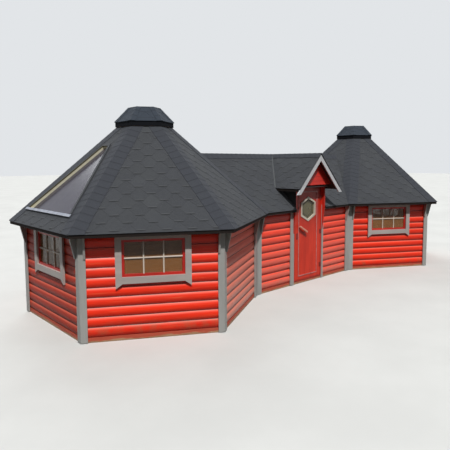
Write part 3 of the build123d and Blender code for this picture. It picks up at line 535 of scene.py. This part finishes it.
def shingle_material():
    """Shingles: each tab carries its own coordinates, row and tone; dashes of painted shadow under the tabs'
    lower edges, and a painted highlight along them.
    """
    material, tree = new_material("shingles")
    across, up, tone = parts_of(stored(tree, "tab"))
    vector = stored_grain(tree)
    colour, height = charcoal(vector, tab_brightness(tone))
    ragged = noise(vector, 30.0) * 0.07
    span = calc("ABSOLUTE", across)
    half = TAB_FLAT / PITCH / 2
    # Painted shadow: dark dashes just below the flat lower edges of the tabs of the next rows.
    first = step(up, 0.78, 0.95) * (up < 1.02) * step(span, 0.5 - half - 0.03, 0.5 - half + 0.01)
    second = step(up, 1.78, 1.95) * step(span, half - 0.01, half + 0.03, 1.0, 0.0)
    colour = blend((first + second) * (0.8 - ragged), colour, (24, 25, 28))
    # Painted highlight along the flat lower edge of each tab.
    lip = step(up, 0.02, 0.14, 1.0, 0.0) * step(span, half - 0.02, half + 0.02, 0.5, 0.08)
    colour = blend(lip, colour, (86, 89, 92))
    return finish(material, colour, SHEET_ROUGHNESS, height, 0.0009)


def strip_material(name, tint, share):
    """Folded shingles and edging strips: granules with a share of a tint."""
    material, tree = new_material(name)
    _, up, tone = parts_of(stored(tree, "tab"))
    colour, height = charcoal(stored_grain(tree), tab_brightness(tone))
    colour = blend(share, colour, tint)
    # Painted shadow just below the lower edge of the next folded shingle.
    edge = step(up, 0.8, 0.985) * (up < 1.02)
    colour = blend(edge * 0.32, colour, (28, 30, 35))
    return finish(material, colour, SHEET_ROUGHNESS, height, 0.0009)


def roof_board_material(name, light, dark, rim=(34, 27, 24)):
    """Roof panels: sheet on top, dark edges with painted shade, boards below."""
    material, tree = new_material(name)
    place = own_place(tree)
    nz = parts_of(own_normal(tree))[2]
    top, height = charcoal(place, PANEL_BRIGHTNESS)
    edge, _, shifted = coursed(level_grain(tree), parts_of(place)[2], 0.0, ROOF_BOARD)
    below, below_height = pine(shifted, light, dark, dark)
    below = blend(step(edge, 0.001, 0.004, 0.85, 0.0), below, dark)
    under = nz < -0.2
    colour = blend(under, top, below)
    # Edges: a dark rim colour with a little of the sheet, partly dark drip edge and partly painted shade.
    colour = blend(calc("ABSOLUTE", nz) < 0.2, colour, blend(0.08, rim, top))
    height = between(under, height, below_height)
    roughness = SHEET_ROUGHNESS - under * 0.28
    return finish(material, colour, roughness, height, 0.0009, ROOF_BOARD_GLOSS)


def curb_material():
    """Skylight curb: bare wood inside with a painted shadow band along its top, dark sheet over its upper
    edges and outer sides.
    """
    material, tree = new_material("curb_wood")
    place = own_place(tree)
    normal = own_normal(tree)
    middle = (SKYLIGHT_LOW + SKYLIGHT_HIGH) / 2
    centre = (-ROOM_X - middle, 0.0, EAVE + ROOF_REACH - middle)
    upward = (-DIAGONAL, 0.0, DIAGONAL)
    from_centre = vector_calc("SUBTRACT", place, centre)
    covered = calc("MAXIMUM", dot(normal, from_centre) > 0.0, dot(normal, upward) > 0.9)
    wood, wood_height = pine(place, (244, 240, 216), (232, 224, 190), (206, 188, 140))
    # Painted shadow of the flashing: a dark olive band along the top of the inner faces.
    rim = step(dot(from_centre, upward), CURB_TOP - 0.024, CURB_TOP - 0.018)
    wood = blend(rim, wood, (84, 80, 54))
    sheet, sheet_height = charcoal(place, SHEET_BRIGHTNESS)
    height = between(covered, wood_height, sheet_height)
    return finish(material, blend(covered, wood, sheet), 0.6 + covered * 0.25, height, 0.0009)


def glass_material(name, colour, alpha, roughness, ripple=0.0):
    """A pane that shows some of what is behind it, with a thin film of dust."""
    material, tree = new_material(name)
    place = own_place(tree)
    dust = noise(place, 5.0, 4, 0.6)
    shade = blend(step(dust, 0.35, 0.7, 0.0, 0.4), colour, [0.72 * channel for channel in colour])
    wave = noise(place, 60.0 if ripple else 3.0)
    cover = step(dust, 0.2, 0.8, alpha - 0.06, alpha + 0.06)
    return finish(material, shade, roughness, wave, 0.0004 + ripple, GLASS_GLOSS, alpha=cover)


def metal_material(name, light, dark, roughness, metallic):
    """Sheet or cast metal with smudges and fine scratches."""
    material, tree = new_material(name)
    place = own_place(tree)
    smudge = noise(place, 9.0, 4, 0.6)
    scratch = noise(scaled(place, 40, 40, 900), 1.0, 3, 0.6)
    colour = blend(step(smudge, 0.35, 0.7), light, dark)
    rough = step(smudge, 0.3, 0.7, roughness - 0.08, roughness + 0.12)
    return finish(material, colour, rough, scratch, 0.0002, metallic=metallic)


# Painted boards: name, coordinates of the grain, and light, dark and worn colours
PAINTED = {
    "boards": ("red_boards", upright_grain, *BOARD_RED),
    # Dark red soffit under the gable: painted shade.
    "soffit": ("dark_soffit", own_place, (66, 20, 14), (48, 14, 10), (30, 8, 6)),
    "sash": ("red_sashes", level_grain, (196, 40, 30), (150, 26, 19)),
    "grey": ("grey_boards", upright_grain, (168, 168, 165), (148, 148, 145), (110, 109, 105)),
    "grey_level": ("grey_rails", level_grain, (180, 173, 169), (160, 153, 149), (120, 112, 108)),
    "pale_level": ("pale_rails", level_grain, (204, 206, 210), (184, 186, 190), (144, 144, 148)),
    "cream": ("cream_frame", level_grain, (206, 198, 184), (184, 174, 158), (140, 130, 116)),
    "bars": ("window_bars", level_grain, (214, 206, 196), (192, 182, 170), (150, 140, 128)),
    "red_stored": ("red_cladding", stored_grain, (214, 48, 34), (176, 32, 22)),
}
MATERIALS = {key: painted_material(*values) for key, values in PAINTED.items()}
MATERIALS |= {
    "logs": log_material("red_logs"),
    "end_logs": log_material("shaded_dull_red_logs", True),
    "cheeks": cheek_material(),
    "door": door_material(),
    "floor_boards": floor_material(),
    "joists": bare_material("joists", own_place, (178, 160, 124), (140, 120, 84)),
    "beams": beam_material(),
    "curb_solid": curb_material(),
    "posts": bare_material("posts_wood", upright_grain, (120, 96, 70), (84, 64, 44)),
    "handle": bare_material("handle_wood", own_place, (222, 158, 136), (190, 120, 98)),
    "shingles": shingle_material(),
    "strips": strip_material("shingle_strips", (42, 46, 56), 0.5),
    "cap_sheet": strip_material("cap_sheet", (36, 48, 62), 0.65),
    "edging": strip_material("pale_edging", (94, 98, 100), 0.65),
    "roof": roof_board_material("roof_boards", PINE_LIGHT, PINE_DARK),
    # Very dark boards under the roof over the door: painted shade.
    "gable_roof": roof_board_material("gable_boards_below", (58, 30, 22), (40, 20, 15)),
    # Near-black edges on the caps: painted shade, partly their dark edging.
    "cap_roof": roof_board_material("cap_boards", PINE_LIGHT, PINE_DARK, (10, 12, 18)),
    "window_glass": glass_material("window_glass", (158, 108, 60), 0.56, 0.08),
    "door_glass": glass_material("door_glass", (112, 106, 78), 0.8, 0.12, 0.0006),
    "skylight_glass": glass_material("skylight_glass", (60, 57, 72), 0.97, 0.2),
    "metal": metal_material("folded_metal", (178, 182, 192), (150, 154, 166), 0.4, 0.85),
    "iron": metal_material("dark_iron", (48, 42, 40), (30, 26, 25), 0.42, 0.7),
    "painted_iron": metal_material("painted_iron", (142, 34, 24), (104, 24, 18), 0.45, 0.0),
}

END_WALLS = ["left_end_wall", "right_end_wall"]
NODE_MATERIALS = {
    "logs": [name for name in nodes if name.endswith("_wall") and name not in END_WALLS],
    "end_logs": END_WALLS,
    "boards": ["door_frame", "gable_panel"],
    "cheeks": ["door_cheeks"],
    "soffit": ["gable_soffit"],
    "door": ["door_leaf"],
    "sash": ["window_sashes"],
    "grey": ["corner_boards", "corner_brackets", "door_side_boards"],
    "grey_level": ["window_casings"],
    "pale_level": ["barge_boards"],
    "cream": ["door_window_frame"],
    "floor_boards": ["left_floor", "right_floor", "middle_floor"],
    "joists": ["floor_joists"],
    "beams": ["sill_beams"],
    "curb_solid": ["skylight_curb"],
    "posts": ["cap_posts"],
    "handle": ["door_handle"],
    "roof": [name for name in nodes if name.endswith(("_roof", "_roof_panels")) and name != "gable_roof"],
    "cap_roof": ["left_cap", "right_cap"],
    "gable_roof": ["gable_roof"],
    "window_glass": ["window_panes"],
    "door_glass": ["door_window_glass"],
    "skylight_glass": ["skylight_glass"],
    "metal": ["skylight_sill"],
    "painted_iron": ["door_lock", "frame_hinges", "leaf_hinges"],
}


def dress_nodes():
    """Gives every solid of the frame its material."""
    for key, names in NODE_MATERIALS.items():
        for name in names:
            slots = nodes[name].data.materials
            slots.clear()
            slots.append(MATERIALS[key])


# Mesh helpers

class Builder:
    """Collects faces, with the coordinates that the materials read, and makes one piece of them."""

    def __init__(self):
        self.points = []
        self.faces = []
        self.grain = []
        self.tab = []

    def add(self, points, faces, grains, tabs=None):
        """Adds points and the faces between them."""
        base = len(self.points)
        self.points += [tuple(point) for point in points]
        self.faces += [tuple(base + i for i in face) for face in faces]
        self.grain += [tuple(value) for value in grains]
        self.tab += [tuple(value) for value in (tabs or [(0, 0, 0.5)] * len(points))]

    def prism(self, top, bottom, grains, tabs=None):
        """Closed prism between two outlines, the top one anticlockwise seen from outside."""
        count = len(top)
        faces = [tuple(range(count)), tuple(reversed(range(count, 2 * count)))]
        faces += [(i, count + i, count + (i + 1) % count, (i + 1) % count) for i in range(count)]
        both = None if tabs is None else tabs + tabs
        self.add(top + bottom, faces, grains + grains, both)

    def piece(self, name, material, body="cabin"):
        """Makes the piece and lets it ride on a body."""
        mesh = bpy.data.meshes.new(name)
        mesh.from_pydata(self.points, [], self.faces)
        for label, values in (("grain", self.grain), ("tab", self.tab)):
            layer = mesh.attributes.new(label, "FLOAT_VECTOR", "POINT")
            layer.data.foreach_set("vector", [number for value in values for number in value])
        mesh.materials.append(MATERIALS[material])
        mesh.update()
        made = bpy.data.objects.new(name, mesh)
        bpy.context.scene.collection.objects.link(made)
        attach(made, body)


def clip(polygon, region):
    """The part of a convex polygon that lies in a convex region; both anticlockwise."""
    for i in range(len(region)):
        ax, ay = region[i]
        bx, by = region[(i + 1) % len(region)]

        def side(point):
            return (bx - ax) * (point[1] - ay) - (by - ay) * (point[0] - ax)

        kept = []
        for j, point in enumerate(polygon):
            after = polygon[(j + 1) % len(polygon)]
            here, there = side(point), side(after)
            if here >= 0:
                kept.append(point)
            if (here > 0 > there) or (here < 0 < there):
                share = here / (here - there)
                kept.append(tuple(a + share * (b - a) for a, b in zip(point, after)))
        polygon = kept
        if len(polygon) < 3:
            return []
    return polygon


def area(polygon):
    """Signed area of a polygon."""
    total = 0.0
    for i, (x0, y0) in enumerate(polygon):
        x1, y1 = polygon[(i + 1) % len(polygon)]
        total += x0 * y1 - x1 * y0
    return total / 2


def anticlockwise(polygon):
    """The polygon's corners in anticlockwise order."""
    return polygon if area(polygon) > 0 else list(reversed(polygon))


def compass(degrees):
    """Unit vectors along a face that looks in that direction, and out of it."""
    angle = math.radians(degrees)
    return Vector((-math.sin(angle), math.cos(angle), 0)), Vector((math.cos(angle), math.sin(angle), 0))


class Slope:
    """A sloping face of a roof: x runs along its eave and y up the slope from the eave."""

    def __init__(self, middle, degrees, reach, eave, pitch):
        self.side, out = compass(degrees)
        self.up = out * -math.cos(pitch) + Vector((0, 0, math.sin(pitch)))
        self.normal = out * math.sin(pitch) + Vector((0, 0, math.cos(pitch)))
        self.origin = Vector((middle, 0, eave)) + out * reach
        self.reach = reach
        self.pitch = pitch
        self.offset = dice.uniform(0, 20)

    def place(self, x, y, height):
        """The point at x and y, raised off the slope."""
        return self.origin + self.side * x + self.up * y + self.normal * height

    def rise(self, reach):
        """How far up the slope a line at that distance from the middle lies."""
        return (self.reach - reach) / math.cos(self.pitch)


def lay_sheet(builder, slope, polygon, height_of, thickness, tab_of, tone=0.0):
    """Lays one flat piece of sheet on a slope."""
    polygon = anticlockwise(polygon)
    top = [slope.place(x, y, height_of(x, y)) for x, y in polygon]
    bottom = [slope.place(x, y, height_of(x, y) - thickness) for x, y in polygon]
    grains = [(x + slope.offset, y, tone) for x, y in polygon]
    builder.prism(top, bottom, grains, [tab_of(x, y) for x, y in polygon])


def lay_shingles(builder, slope, regions, first_row=FIRST_ROW):
    """Covers the convex regions of a slope with rows of six-sided tabs."""
    highest = max(y for region in regions for _, y in region)
    left = min(x for region in regions for x, _ in region)
    right = max(x for region in regions for x, _ in region)
    row = -2
    while first_row + row * EXPOSURE < highest:
        foot = first_row + row * EXPOSURE
        for column in range(math.floor(left / PITCH) - 1, math.ceil(right / PITCH) + 2):
            middle = (column + 0.5 * ((row + 1) % 2)) * PITCH
            tone = dice.random()
            lift = dice.uniform(0.0, TAB_LIFT)
            drop = dice.uniform(-TAB_WANDER, TAB_WANDER)
            tab = [(middle + x, foot + (y or drop)) for x, y in TAB]

            def height_of(x, y):
                return TAB_LOW + lift - (TAB_LOW + lift - TAB_HIGH) * (y - foot) / COVER

            def tab_of(x, y):
                return ((x - middle) / PITCH, (y - foot) / EXPOSURE, tone)

            for region in regions:
                cut = clip(tab, region)
                if len(cut) >= 3 and abs(area(cut)) > LEAST_AREA:
                    lay_sheet(builder, slope, cut, height_of, SHEET, tab_of, tone)
        row += 1


def lay_strip(builder, slope, regions, start, end, inward, fold, widths, seed, exposure=EXPOSURE):
    """Lays one side of a row of folded shingles along a hip or ridge, from its low end up."""
    sx, sy = start
    length = math.hypot(end[0] - sx, end[1] - sy)
    dx, dy = (end[0] - sx) / length, (end[1] - sy) / length
    px, py = (-dy, dx) if (-dy * inward[0] + dx * inward[1]) > 0 else (dy, -dx)
    cover = exposure * STRIP_COVER
    for i in range(-1, math.ceil(length / exposure)):
        near = i * exposure
        far = near + cover
        tones = random.Random(f"{seed}{i}")
        tone = tones.random()
        wobble = tones.uniform(-STRIP_WANDER, STRIP_WANDER)

        def edge_at(distance):
            share = min(max(distance / length, 0), 1)
            width = widths[0] + (widths[1] - widths[0]) * share + wobble
            return spot(distance, width)

        def spot(distance, across):
            return (sx + dx * distance + px * across, sy + dy * distance + py * across)

        def distance_of(x, y):
            return (x - sx) * dx + (y - sy) * dy - near

        flap = anticlockwise([spot(near, 0), edge_at(near), edge_at(far), spot(far, 0)])
        for region in regions:
            cut = clip(flap, region)
            if len(cut) < 3 or abs(area(cut)) < LEAST_AREA:
                continue
            cut = anticlockwise(cut)
            top, bottom = [], []
            for x, y in cut:
                height = STRIP_LOW - (STRIP_LOW - STRIP_HIGH) * distance_of(x, y) / cover
                off_line = (x - sx) * px + (y - sy) * py
                for outline, level in ((top, height), (bottom, height - STRIP_SHEET)):
                    out = level * fold if off_line < ALMOST else 0.0
                    outline.append(slope.place(x - px * out, y - py * out, level))
            grains = [(x + slope.offset, y, tone) for x, y in cut]
            builder.prism(top, bottom, grains, [(0.0, distance_of(x, y) / exposure, tone) for x, y in cut])


def fold_of(first, second):
    """Tangent of half the angle between two slopes' normals."""
    return math.tan(math.acos(min(1.0, first.normal.dot(second.normal))) / 2)


def lay_hips(builder, slopes, regions, low, high, widths, seed, exposure=EXPOSURE):
    """Folded shingles on both sides of the six hips of a roof."""
    for degrees, slope in slopes.items():
        for turn in (-1, 1):
            start = (turn * low * HIP, 0.0)
            end = (turn * high * HIP, slope.rise(high))
            fold = fold_of(slope, slopes[(degrees + turn * 60) % 360])
            hip = f"{seed}{(degrees + turn * 30) % 360}"
            lay_strip(builder, slope, regions[degrees], start, end, (-turn, 0), fold, widths, hip, exposure)


# Roofs

def whole_face(slope, low, high, joint=JOINT):
    """Outline of a full face between the eave and a distance from the middle."""
    foot = slope.rise(low)
    head = slope.rise(high)
    wide = low * HIP - joint
    narrow = high * HIP - joint
    return [(-wide, foot), (wide, foot), (narrow, head), (-narrow, head)]


def valley_halves(slope):
    """The two halves of the face that ends in the valleys against the middle roof."""
    halves = []
    for turn in (-1, 1):
        reaches = [(SMOKE_HOLE, 0), (SMOKE_HOLE, SMOKE_HOLE * HIP), (ROOF_REACH, ROOF_REACH * HIP)]
        reaches += [(ROOF_REACH, MIDDLE_REACH + JOINT), (VALLEY_START, 0)]
        halves.append(anticlockwise([(turn * side, slope.rise(reach)) for reach, side in reaches]))
    return halves


def lipped(region):
    """The region with its lower edge pulled out a little past the eave, along its side edges."""
    pulled = []
    for i, (x, y) in enumerate(region):
        if y > ALMOST:
            pulled.append((x, y))
            continue
        beside = (region[i - 1], region[(i + 1) % len(region)])
        above = [point for point in beside if point[1] > ALMOST]
        run = (above[0][0] - x) / (above[0][1] - y) if above else 0.0
        pulled.append((x - run * EAVE_LIP, -EAVE_LIP))
    return pulled


def round_skylight(slope, region):
    """Convex parts of a face around the skylight."""
    low = slope.rise(SKYLIGHT_LOW)
    high = slope.rise(SKYLIGHT_HIGH)
    foot = region[0][1] - 1
    head = max(y for _, y in region) + 1
    wide = 3.0
    parts = [
        [(-wide, foot), (wide, foot), (wide, low), (-wide, low)],
        [(-wide, high), (wide, high), (wide, head), (-wide, head)],
        [(SKYLIGHT_LOW_HALF, low), (wide, low), (wide, high), (SKYLIGHT_HIGH_HALF, high)],
        [(-wide, low), (-SKYLIGHT_LOW_HALF, low), (-SKYLIGHT_HIGH_HALF, high), (-wide, high)],
    ]
    return [cut for cut in (clip(region, part) for part in parts) if cut]


def dress_room_roof(room, name):
    """Shingles and hip strips on the roof of a six-cornered room."""
    shingles = Builder()
    strips = Builder()
    inner = 0 if room < 0 else 180
    slopes = {}
    strip_regions = {}
    for degrees in range(0, 360, 60):
        slope = Slope(room * ROOM_X, degrees, ROOF_REACH, EAVE, ROOM_PITCH)
        field = [lipped(whole_face(slope, ROOF_REACH, SMOKE_HOLE))]
        to_hips = [lipped(whole_face(slope, ROOF_REACH, SMOKE_HOLE, 0.0))]
        if degrees == inner:
            field = to_hips = [lipped(half) for half in valley_halves(slope)]
        elif room < 0 and degrees == 180:
            field = round_skylight(slope, field[0])
            to_hips = round_skylight(slope, to_hips[0])
        lay_shingles(shingles, slope, field)
        slopes[degrees] = slope
        strip_regions[degrees] = to_hips
    lay_hips(strips, slopes, strip_regions, ROOF_REACH, SMOKE_HOLE, ROOM_STRIP, name)
    shingles.piece(f"{name}_shingles", "shingles")
    strips.piece(f"{name}_hip_strips", "strips")


def gable_slope(side):
    """The right (1) or left (-1) slope of the roof over the door."""
    return Slope(0, 90 - side * 90, GABLE_HALF, GABLE_EAVE, GABLE_PITCH)


def front_regions(front, eave_half, ridge_half):
    """The parts of the middle roof's front slope beside the roof over the door and under its eaves."""
    top = front.rise(0)
    beside = GABLE_HALF + JOINT
    shoulder = front.rise(beside * GABLE_VALLEY)
    parts = []
    for side in (-1, 1):
        outer = [(side * eave_half, -EAVE_LIP), (side * beside, -EAVE_LIP), (side * beside, top)]
        parts.append(outer + [(side * ridge_half, top)])
        parts.append([(side * beside, shoulder), (0, top), (side * beside, top)])
        near, far = CHEEK_OUTER + JOINT, GABLE_HALF - JOINT
        under = [(side * near, -EAVE_LIP), (side * far, -EAVE_LIP)]
        under += [(side * x, front.rise(x * GABLE_VALLEY + (GABLE_DROP + VALLEY_GAP))) for x in (far, near)]
        parts.append(under)
    return [anticlockwise(part) for part in parts]


def dress_middle_roof():
    """Shingles and ridge strips of the middle roof and of the roof over the door."""
    rear = Slope(0, 90, MIDDLE_REACH, EAVE, MIDDLE_PITCH)
    front = Slope(0, -90, MIDDLE_REACH, EAVE, MIDDLE_PITCH)
    eave_half = ROOM_X - ROOF_REACH - JOINT
    ridge_half = ROOM_X - VALLEY_START - JOINT
    top = rear.rise(0)
    shingles = Builder()
    rear_region = [(-eave_half, -EAVE_LIP), (eave_half, -EAVE_LIP), (ridge_half, top), (-ridge_half, top)]
    lay_shingles(shingles, rear, [rear_region])
    lay_shingles(shingles, front, front_regions(front, eave_half, ridge_half))
    shingles.piece("middle_shingles", "shingles")

    gable = Builder()
    strips = Builder()
    lip = BARGE_FRONT - GABLE_LIP
    slopes = {}
    regions = {}
    for side in (1, -1):
        slope = gable_slope(side)
        head = slope.rise(0)
        outline = [(lip, -GABLE_LIP), (-GABLE_HALF * GABLE_VALLEY, -GABLE_LIP), (0, head), (lip, head)]
        regions[side] = anticlockwise([(side * x, y) for x, y in outline])
        slopes[side] = slope
        lay_shingles(gable, slope, [regions[side]])
    gable.piece("gable_shingles", "shingles")
    for side in (-1, 1):
        slope = slopes[side]
        fold = fold_of(slope, slopes[-side])
        start, end = (side * lip, head), (0, head)
        lay_strip(strips, slope, [regions[side]], start, end, (0, -1), fold, GABLE_STRIP, "gable_ridge")
    low, past = top - 0.3, ridge_half + 0.3
    region = [(-past, low), (past, low), (ridge_half, top), (-ridge_half, top)]
    for slope, turn in ((rear, 1), (front, -1)):
        start, end = (turn * ridge_half, top), (-turn * ridge_half, top)
        lay_strip(strips, slope, [region], start, end, (0, -1), 1.0, RIDGE_STRIP, "ridge")
    strips.piece("ridge_strips", "strips")


def add_valley_lines():
    """Edging strips in the two valleys beside the roof over the door."""
    lines = Builder()
    low = -GABLE_HALF * GABLE_VALLEY
    high = -VALLEY_LINE_END * GABLE_VALLEY
    for side in (1, -1):
        slope = gable_slope(side)
        head = slope.rise(VALLEY_LINE_END)
        outline = [(low, 0.0), (low - VALLEY_LINE, 0.0), (high - VALLEY_LINE, head), (high, head)]
        outline = [(side * x, y) for x, y in outline]
        top, tab = lambda x, y: VALLEY_LINE_TOP, lambda x, y: (0.0, 0.5, 0.5)
        lay_sheet(lines, slope, outline, top, VALLEY_LINE_SHEET, tab)
    lines.piece("valley_lines", "edging")


def dress_caps():
    """Shingles, hip strips and a flat top on the small roofs over the smoke holes."""
    for room, name in ((-1, "left"), (1, "right")):
        shingles = Builder()
        strips = Builder()
        middle = room * ROOM_X
        turns = range(0, 360, 60)
        slopes = {degrees: Slope(middle, degrees, CAP_LOW, CAP_EAVE, CAP_PITCH) for degrees in turns}
        for slope in slopes.values():
            lay_shingles(shingles, slope, [lipped(whole_face(slope, CAP_LOW, CAP_HIGH))], CAP_FIRST_ROW)
        regions = {key: [lipped(whole_face(slopes[key], CAP_LOW, CAP_HIGH, 0.0))] for key in turns}
        seed = f"cap{name}"
        lay_hips(strips, slopes, regions, CAP_LOW, CAP_HIGH, CAP_STRIP, seed, CAP_STRIP_EXPOSURE)
        corners = [math.radians(30 + degrees) for degrees in turns]
        flat = [(middle + CAP_FLAT * math.cos(corner), CAP_FLAT * math.sin(corner)) for corner in corners]
        top, bottom = ([Vector((x, y, CAP_TOP + lift)) for x, y in flat] for lift in CAP_SHEET)
        strips.prism(top, bottom, [(x, y, 0) for x, y in flat], [(0, 0.5, 0.5)] * 6)
        shingles.piece(f"{name}_cap_shingles", "cap_sheet")
        strips.piece(f"{name}_cap_strips", "cap_sheet")


# Windows, door and gable

def bar(builder, start, end, across, out, width, back, front, chamfer):
    """A bar with two chamfered front edges, between two points, from a back depth to a front depth."""
    run = (end - start).normalized()
    half = width / 2
    section = [(-half, back), (half, back), (half, front - chamfer), (half - chamfer, front)]
    section += [(-half + chamfer, front), (-half, front - chamfer)]
    rings = []
    grains = []
    shift = dice.uniform(0, 30)
    for distance in (0.0, (end - start).length):
        rings += [start + run * distance + across * a + out * b for a, b in section]
        grains += [(distance + shift, a, b) for a, b in section]
    count = len(section)
    faces = [tuple(reversed(range(count))), tuple(range(count, 2 * count))]
    faces += [(i, (i + 1) % count, count + (i + 1) % count, count + i) for i in range(count)]
    if run.cross(across).dot(out) < 0:
        faces = [tuple(reversed(face)) for face in faces]
    builder.add(rings, faces, grains)


def add_window_bars():
    """Bars on both sides of the glass, and a bead around each pane."""
    bars = Builder()
    beads = Builder()
    up = Vector((0, 0, 1))
    reach = SIDE * math.cos(math.radians(30))
    for room, degrees in WINDOWS:
        side, out = compass(degrees)
        middle = Vector((room * ROOM_X, 0, 0)) + out * reach

        def upright(builder, x, *shape):
            spot = middle + side * x
            bar(builder, spot + up * PANE_LOW, spot + up * PANE_HIGH, side, out, *shape)

        def level(builder, z, *shape):
            ends = [middle + side * x + up * z for x in (-PANE_HALF, PANE_HALF)]
            bar(builder, *ends, up, out, *shape)

        for back, front, chamfer in BAR_DEPTHS:
            for x in (-BAR_X, BAR_X):
                upright(bars, x, BAR_WIDTH, back, front, chamfer)
            level(bars, BAR_Z, BAR_WIDTH, back, front - BAR_SETBACK, chamfer)
        for x in (-PANE_HALF + BEAD_INSET, PANE_HALF - BEAD_INSET):
            upright(beads, x, BEAD_WIDTH, GLASS_FRONT, BEAD_FRONT, BEAD_CHAMFER)
        for z in (PANE_LOW + BEAD_INSET, PANE_HIGH - BEAD_INSET):
            level(beads, z, BEAD_WIDTH, GLASS_FRONT, BEAD_FRONT - BEAD_SETBACK, BEAD_CHAMFER)
    bars.piece("window_bars", "bars")
    beads.piece("glazing_beads", "sash")


def hexagon(margin):
    """Corners of the door window's outline, shrunk by a margin."""
    tip_low, low, high, tip_high = HEXAGON_HEIGHTS
    slope = math.atan2(low - tip_low, HEXAGON_HALF)
    rise = margin / math.cos(slope)
    bend = margin * math.tan(slope)
    half = HEXAGON_HALF - margin
    lower, upper = low - bend + rise, high + bend - rise
    corners = [(0, tip_low + rise), (half, lower), (half, upper), (0, tip_high - rise)]
    corners += [(-half, upper), (-half, lower)]
    return [Vector((x, LEAD_Y, z)) for x, z in corners]


def add_door_details():
    """Lead lines in the door's window."""
    lead = Builder()
    inner = hexagon(LEAD_MARGIN)
    rim = hexagon(RIM_MARGIN)
    out = Vector((0, -1, 0))
    for i in range(6):
        for start, end in ((inner[i], inner[(i + 1) % 6]), (rim[i], inner[i])):
            run = (end - start).normalized()
            bar(lead, start, end, run.cross(out), out, *LEAD_SHAPE)
    lead.piece("door_window_leads", "iron", "door")


def add_gable_boards():
    """Level boards on the gable over the door, each thinner at its upper edge."""
    boards = Builder()

    def half_at(z):
        return min((BOARD_APEX - z) / GABLE_TAN, BOARD_HALF)

    z = GABLE_FOOT + 0.001
    while z < BOARD_TOP - LEAST_BOARD:
        top = min(z + BOARD_HEIGHT, BOARD_TOP) - BOARD_STEP
        low_half = half_at(z)
        high_half = max(half_at(top), BOARD_TIP)
        outline = [(-low_half, z), (low_half, z), (high_half, top), (-high_half, top)]
        depths = [BOARD_SHEET] * 2 + [BOARD_SHEET * BOARD_TAPER] * 2
        shift = dice.uniform(0, 30)
        front = [Vector((x, GABLE_FACE - depth, height)) for (x, height), depth in zip(outline, depths)]
        back = [Vector((x, GABLE_FACE - BOARD_GAP, height)) for x, height in outline]
        boards.prism(front, back, [(x + shift, height, 0) for x, height in outline])
        z += BOARD_HEIGHT
    boards.piece("gable_boards", "red_stored")


# Stage, light and camera

def seen_directly(tree):
    """One where the camera, a reflection or glass shows the backdrop, and nought for the light it gives."""
    path = node(tree, "LightPath")
    rays = ("Is Camera Ray", "Is Glossy Ray", "Is Transmission Ray")
    camera, glossy, passed = (Wire(tree, path.outputs[ray]) for ray in rays)
    return calc("MAXIMUM", calc("MAXIMUM", camera, glossy), passed)


def add_stage():
    """A pale floor that reaches far past the cabin."""
    mesh = bpy.data.meshes.new("floor")
    far = 90.0
    mesh.from_pydata([(-far, -far, 0), (far, -far, 0), (far, far, 0), (-far, far, 0)], [], [(0, 1, 2, 3)])
    material, tree = new_material("floor")
    cloud = noise(own_place(tree), 0.7, 4, 0.55)
    colour = blend(step(cloud, 0.3, 0.7), (206, 207, 205), (200, 201, 199))
    colour = blend(seen_directly(tree), (70, 67, 62), colour)
    finish(material, colour, 0.9, gloss=0.0)
    mesh.materials.append(material)
    floor = bpy.data.objects.new("floor", mesh)
    floor.location = (0, 0, -0.0005)
    bpy.context.scene.collection.objects.link(floor)


def add_sun(name, energy, softness, colour, bearing, height):
    """A sun lamp; softness, bearing and height are in degrees."""
    lamp = bpy.data.lights.new(name, "SUN")
    lamp.energy = energy
    lamp.angle = math.radians(softness)
    lamp.color = colour
    sun = bpy.data.objects.new(name, lamp)
    _, out = compass(bearing)
    towards = out * math.cos(math.radians(height)) + Vector((0, 0, math.sin(math.radians(height))))
    sun.rotation_euler = towards.to_track_quat("Z", "Y").to_euler()
    sun.location = towards * 20
    bpy.context.scene.collection.objects.link(sun)


def add_light():
    """A key lamp where the photo's sun stands, a broad fill from behind, and a sky."""
    add_sun("key", 3.5, 2.5, (1.0, 0.975, 0.94), -120.5, 55)
    add_sun("fill", 1.5, 50, (0.95, 0.975, 1.0), 62, 32)

    world = bpy.data.worlds.new("sky")
    bpy.context.scene.world = world
    world.use_nodes = True
    tree = world.node_tree
    tree.nodes.clear()
    upward = parts_of(wire(tree, "TexCoord", output="Generated"))[2]
    strength = step(upward, 0.2, 0.85, 0.03, 0.42)
    ambient = wire(tree, "Background", {"Color": linear((238, 246, 255)), "Strength": strength})
    backdrop = wire(tree, "Background", {"Color": linear((226, 229, 232)), "Strength": 1.0})
    mixed = wire(tree, "MixShader", {0: seen_directly(tree), 1: ambient, 2: backdrop})
    node(tree, "OutputWorld", {0: mixed})


def add_camera():
    """The photo's viewpoint."""
    yaw, pitch, roll = 0.74032, -0.08835, -0.00530
    forward = Vector((math.sin(yaw) * math.cos(pitch), math.cos(yaw) * math.cos(pitch), math.sin(pitch)))
    level = Vector((math.cos(yaw), -math.sin(yaw), 0))
    up = level.cross(forward)
    right = math.cos(roll) * level + math.sin(roll) * up
    up = right.cross(forward)
    data = bpy.data.cameras.new("camera")
    data.sensor_width = 36.0
    data.lens = 37.641
    data.shift_y = -0.0451
    data.clip_end = 500
    camera = bpy.data.objects.new("camera", data)
    turn = Matrix((right, up, -forward)).transposed().to_4x4()
    camera.matrix_world = Matrix.Translation((-7.3695, -6.6169, 2.3425)) @ turn
    bpy.context.scene.collection.objects.link(camera)
    bpy.context.scene.camera = camera


dress_nodes()
dress_room_roof(-1, "left")
dress_room_roof(1, "right")
dress_middle_roof()
add_valley_lines()
dress_caps()
add_window_bars()
add_door_details()
add_gable_boards()
add_stage()
add_light()
add_camera()
bpy.context.scene.view_settings.view_transform = "Standard"
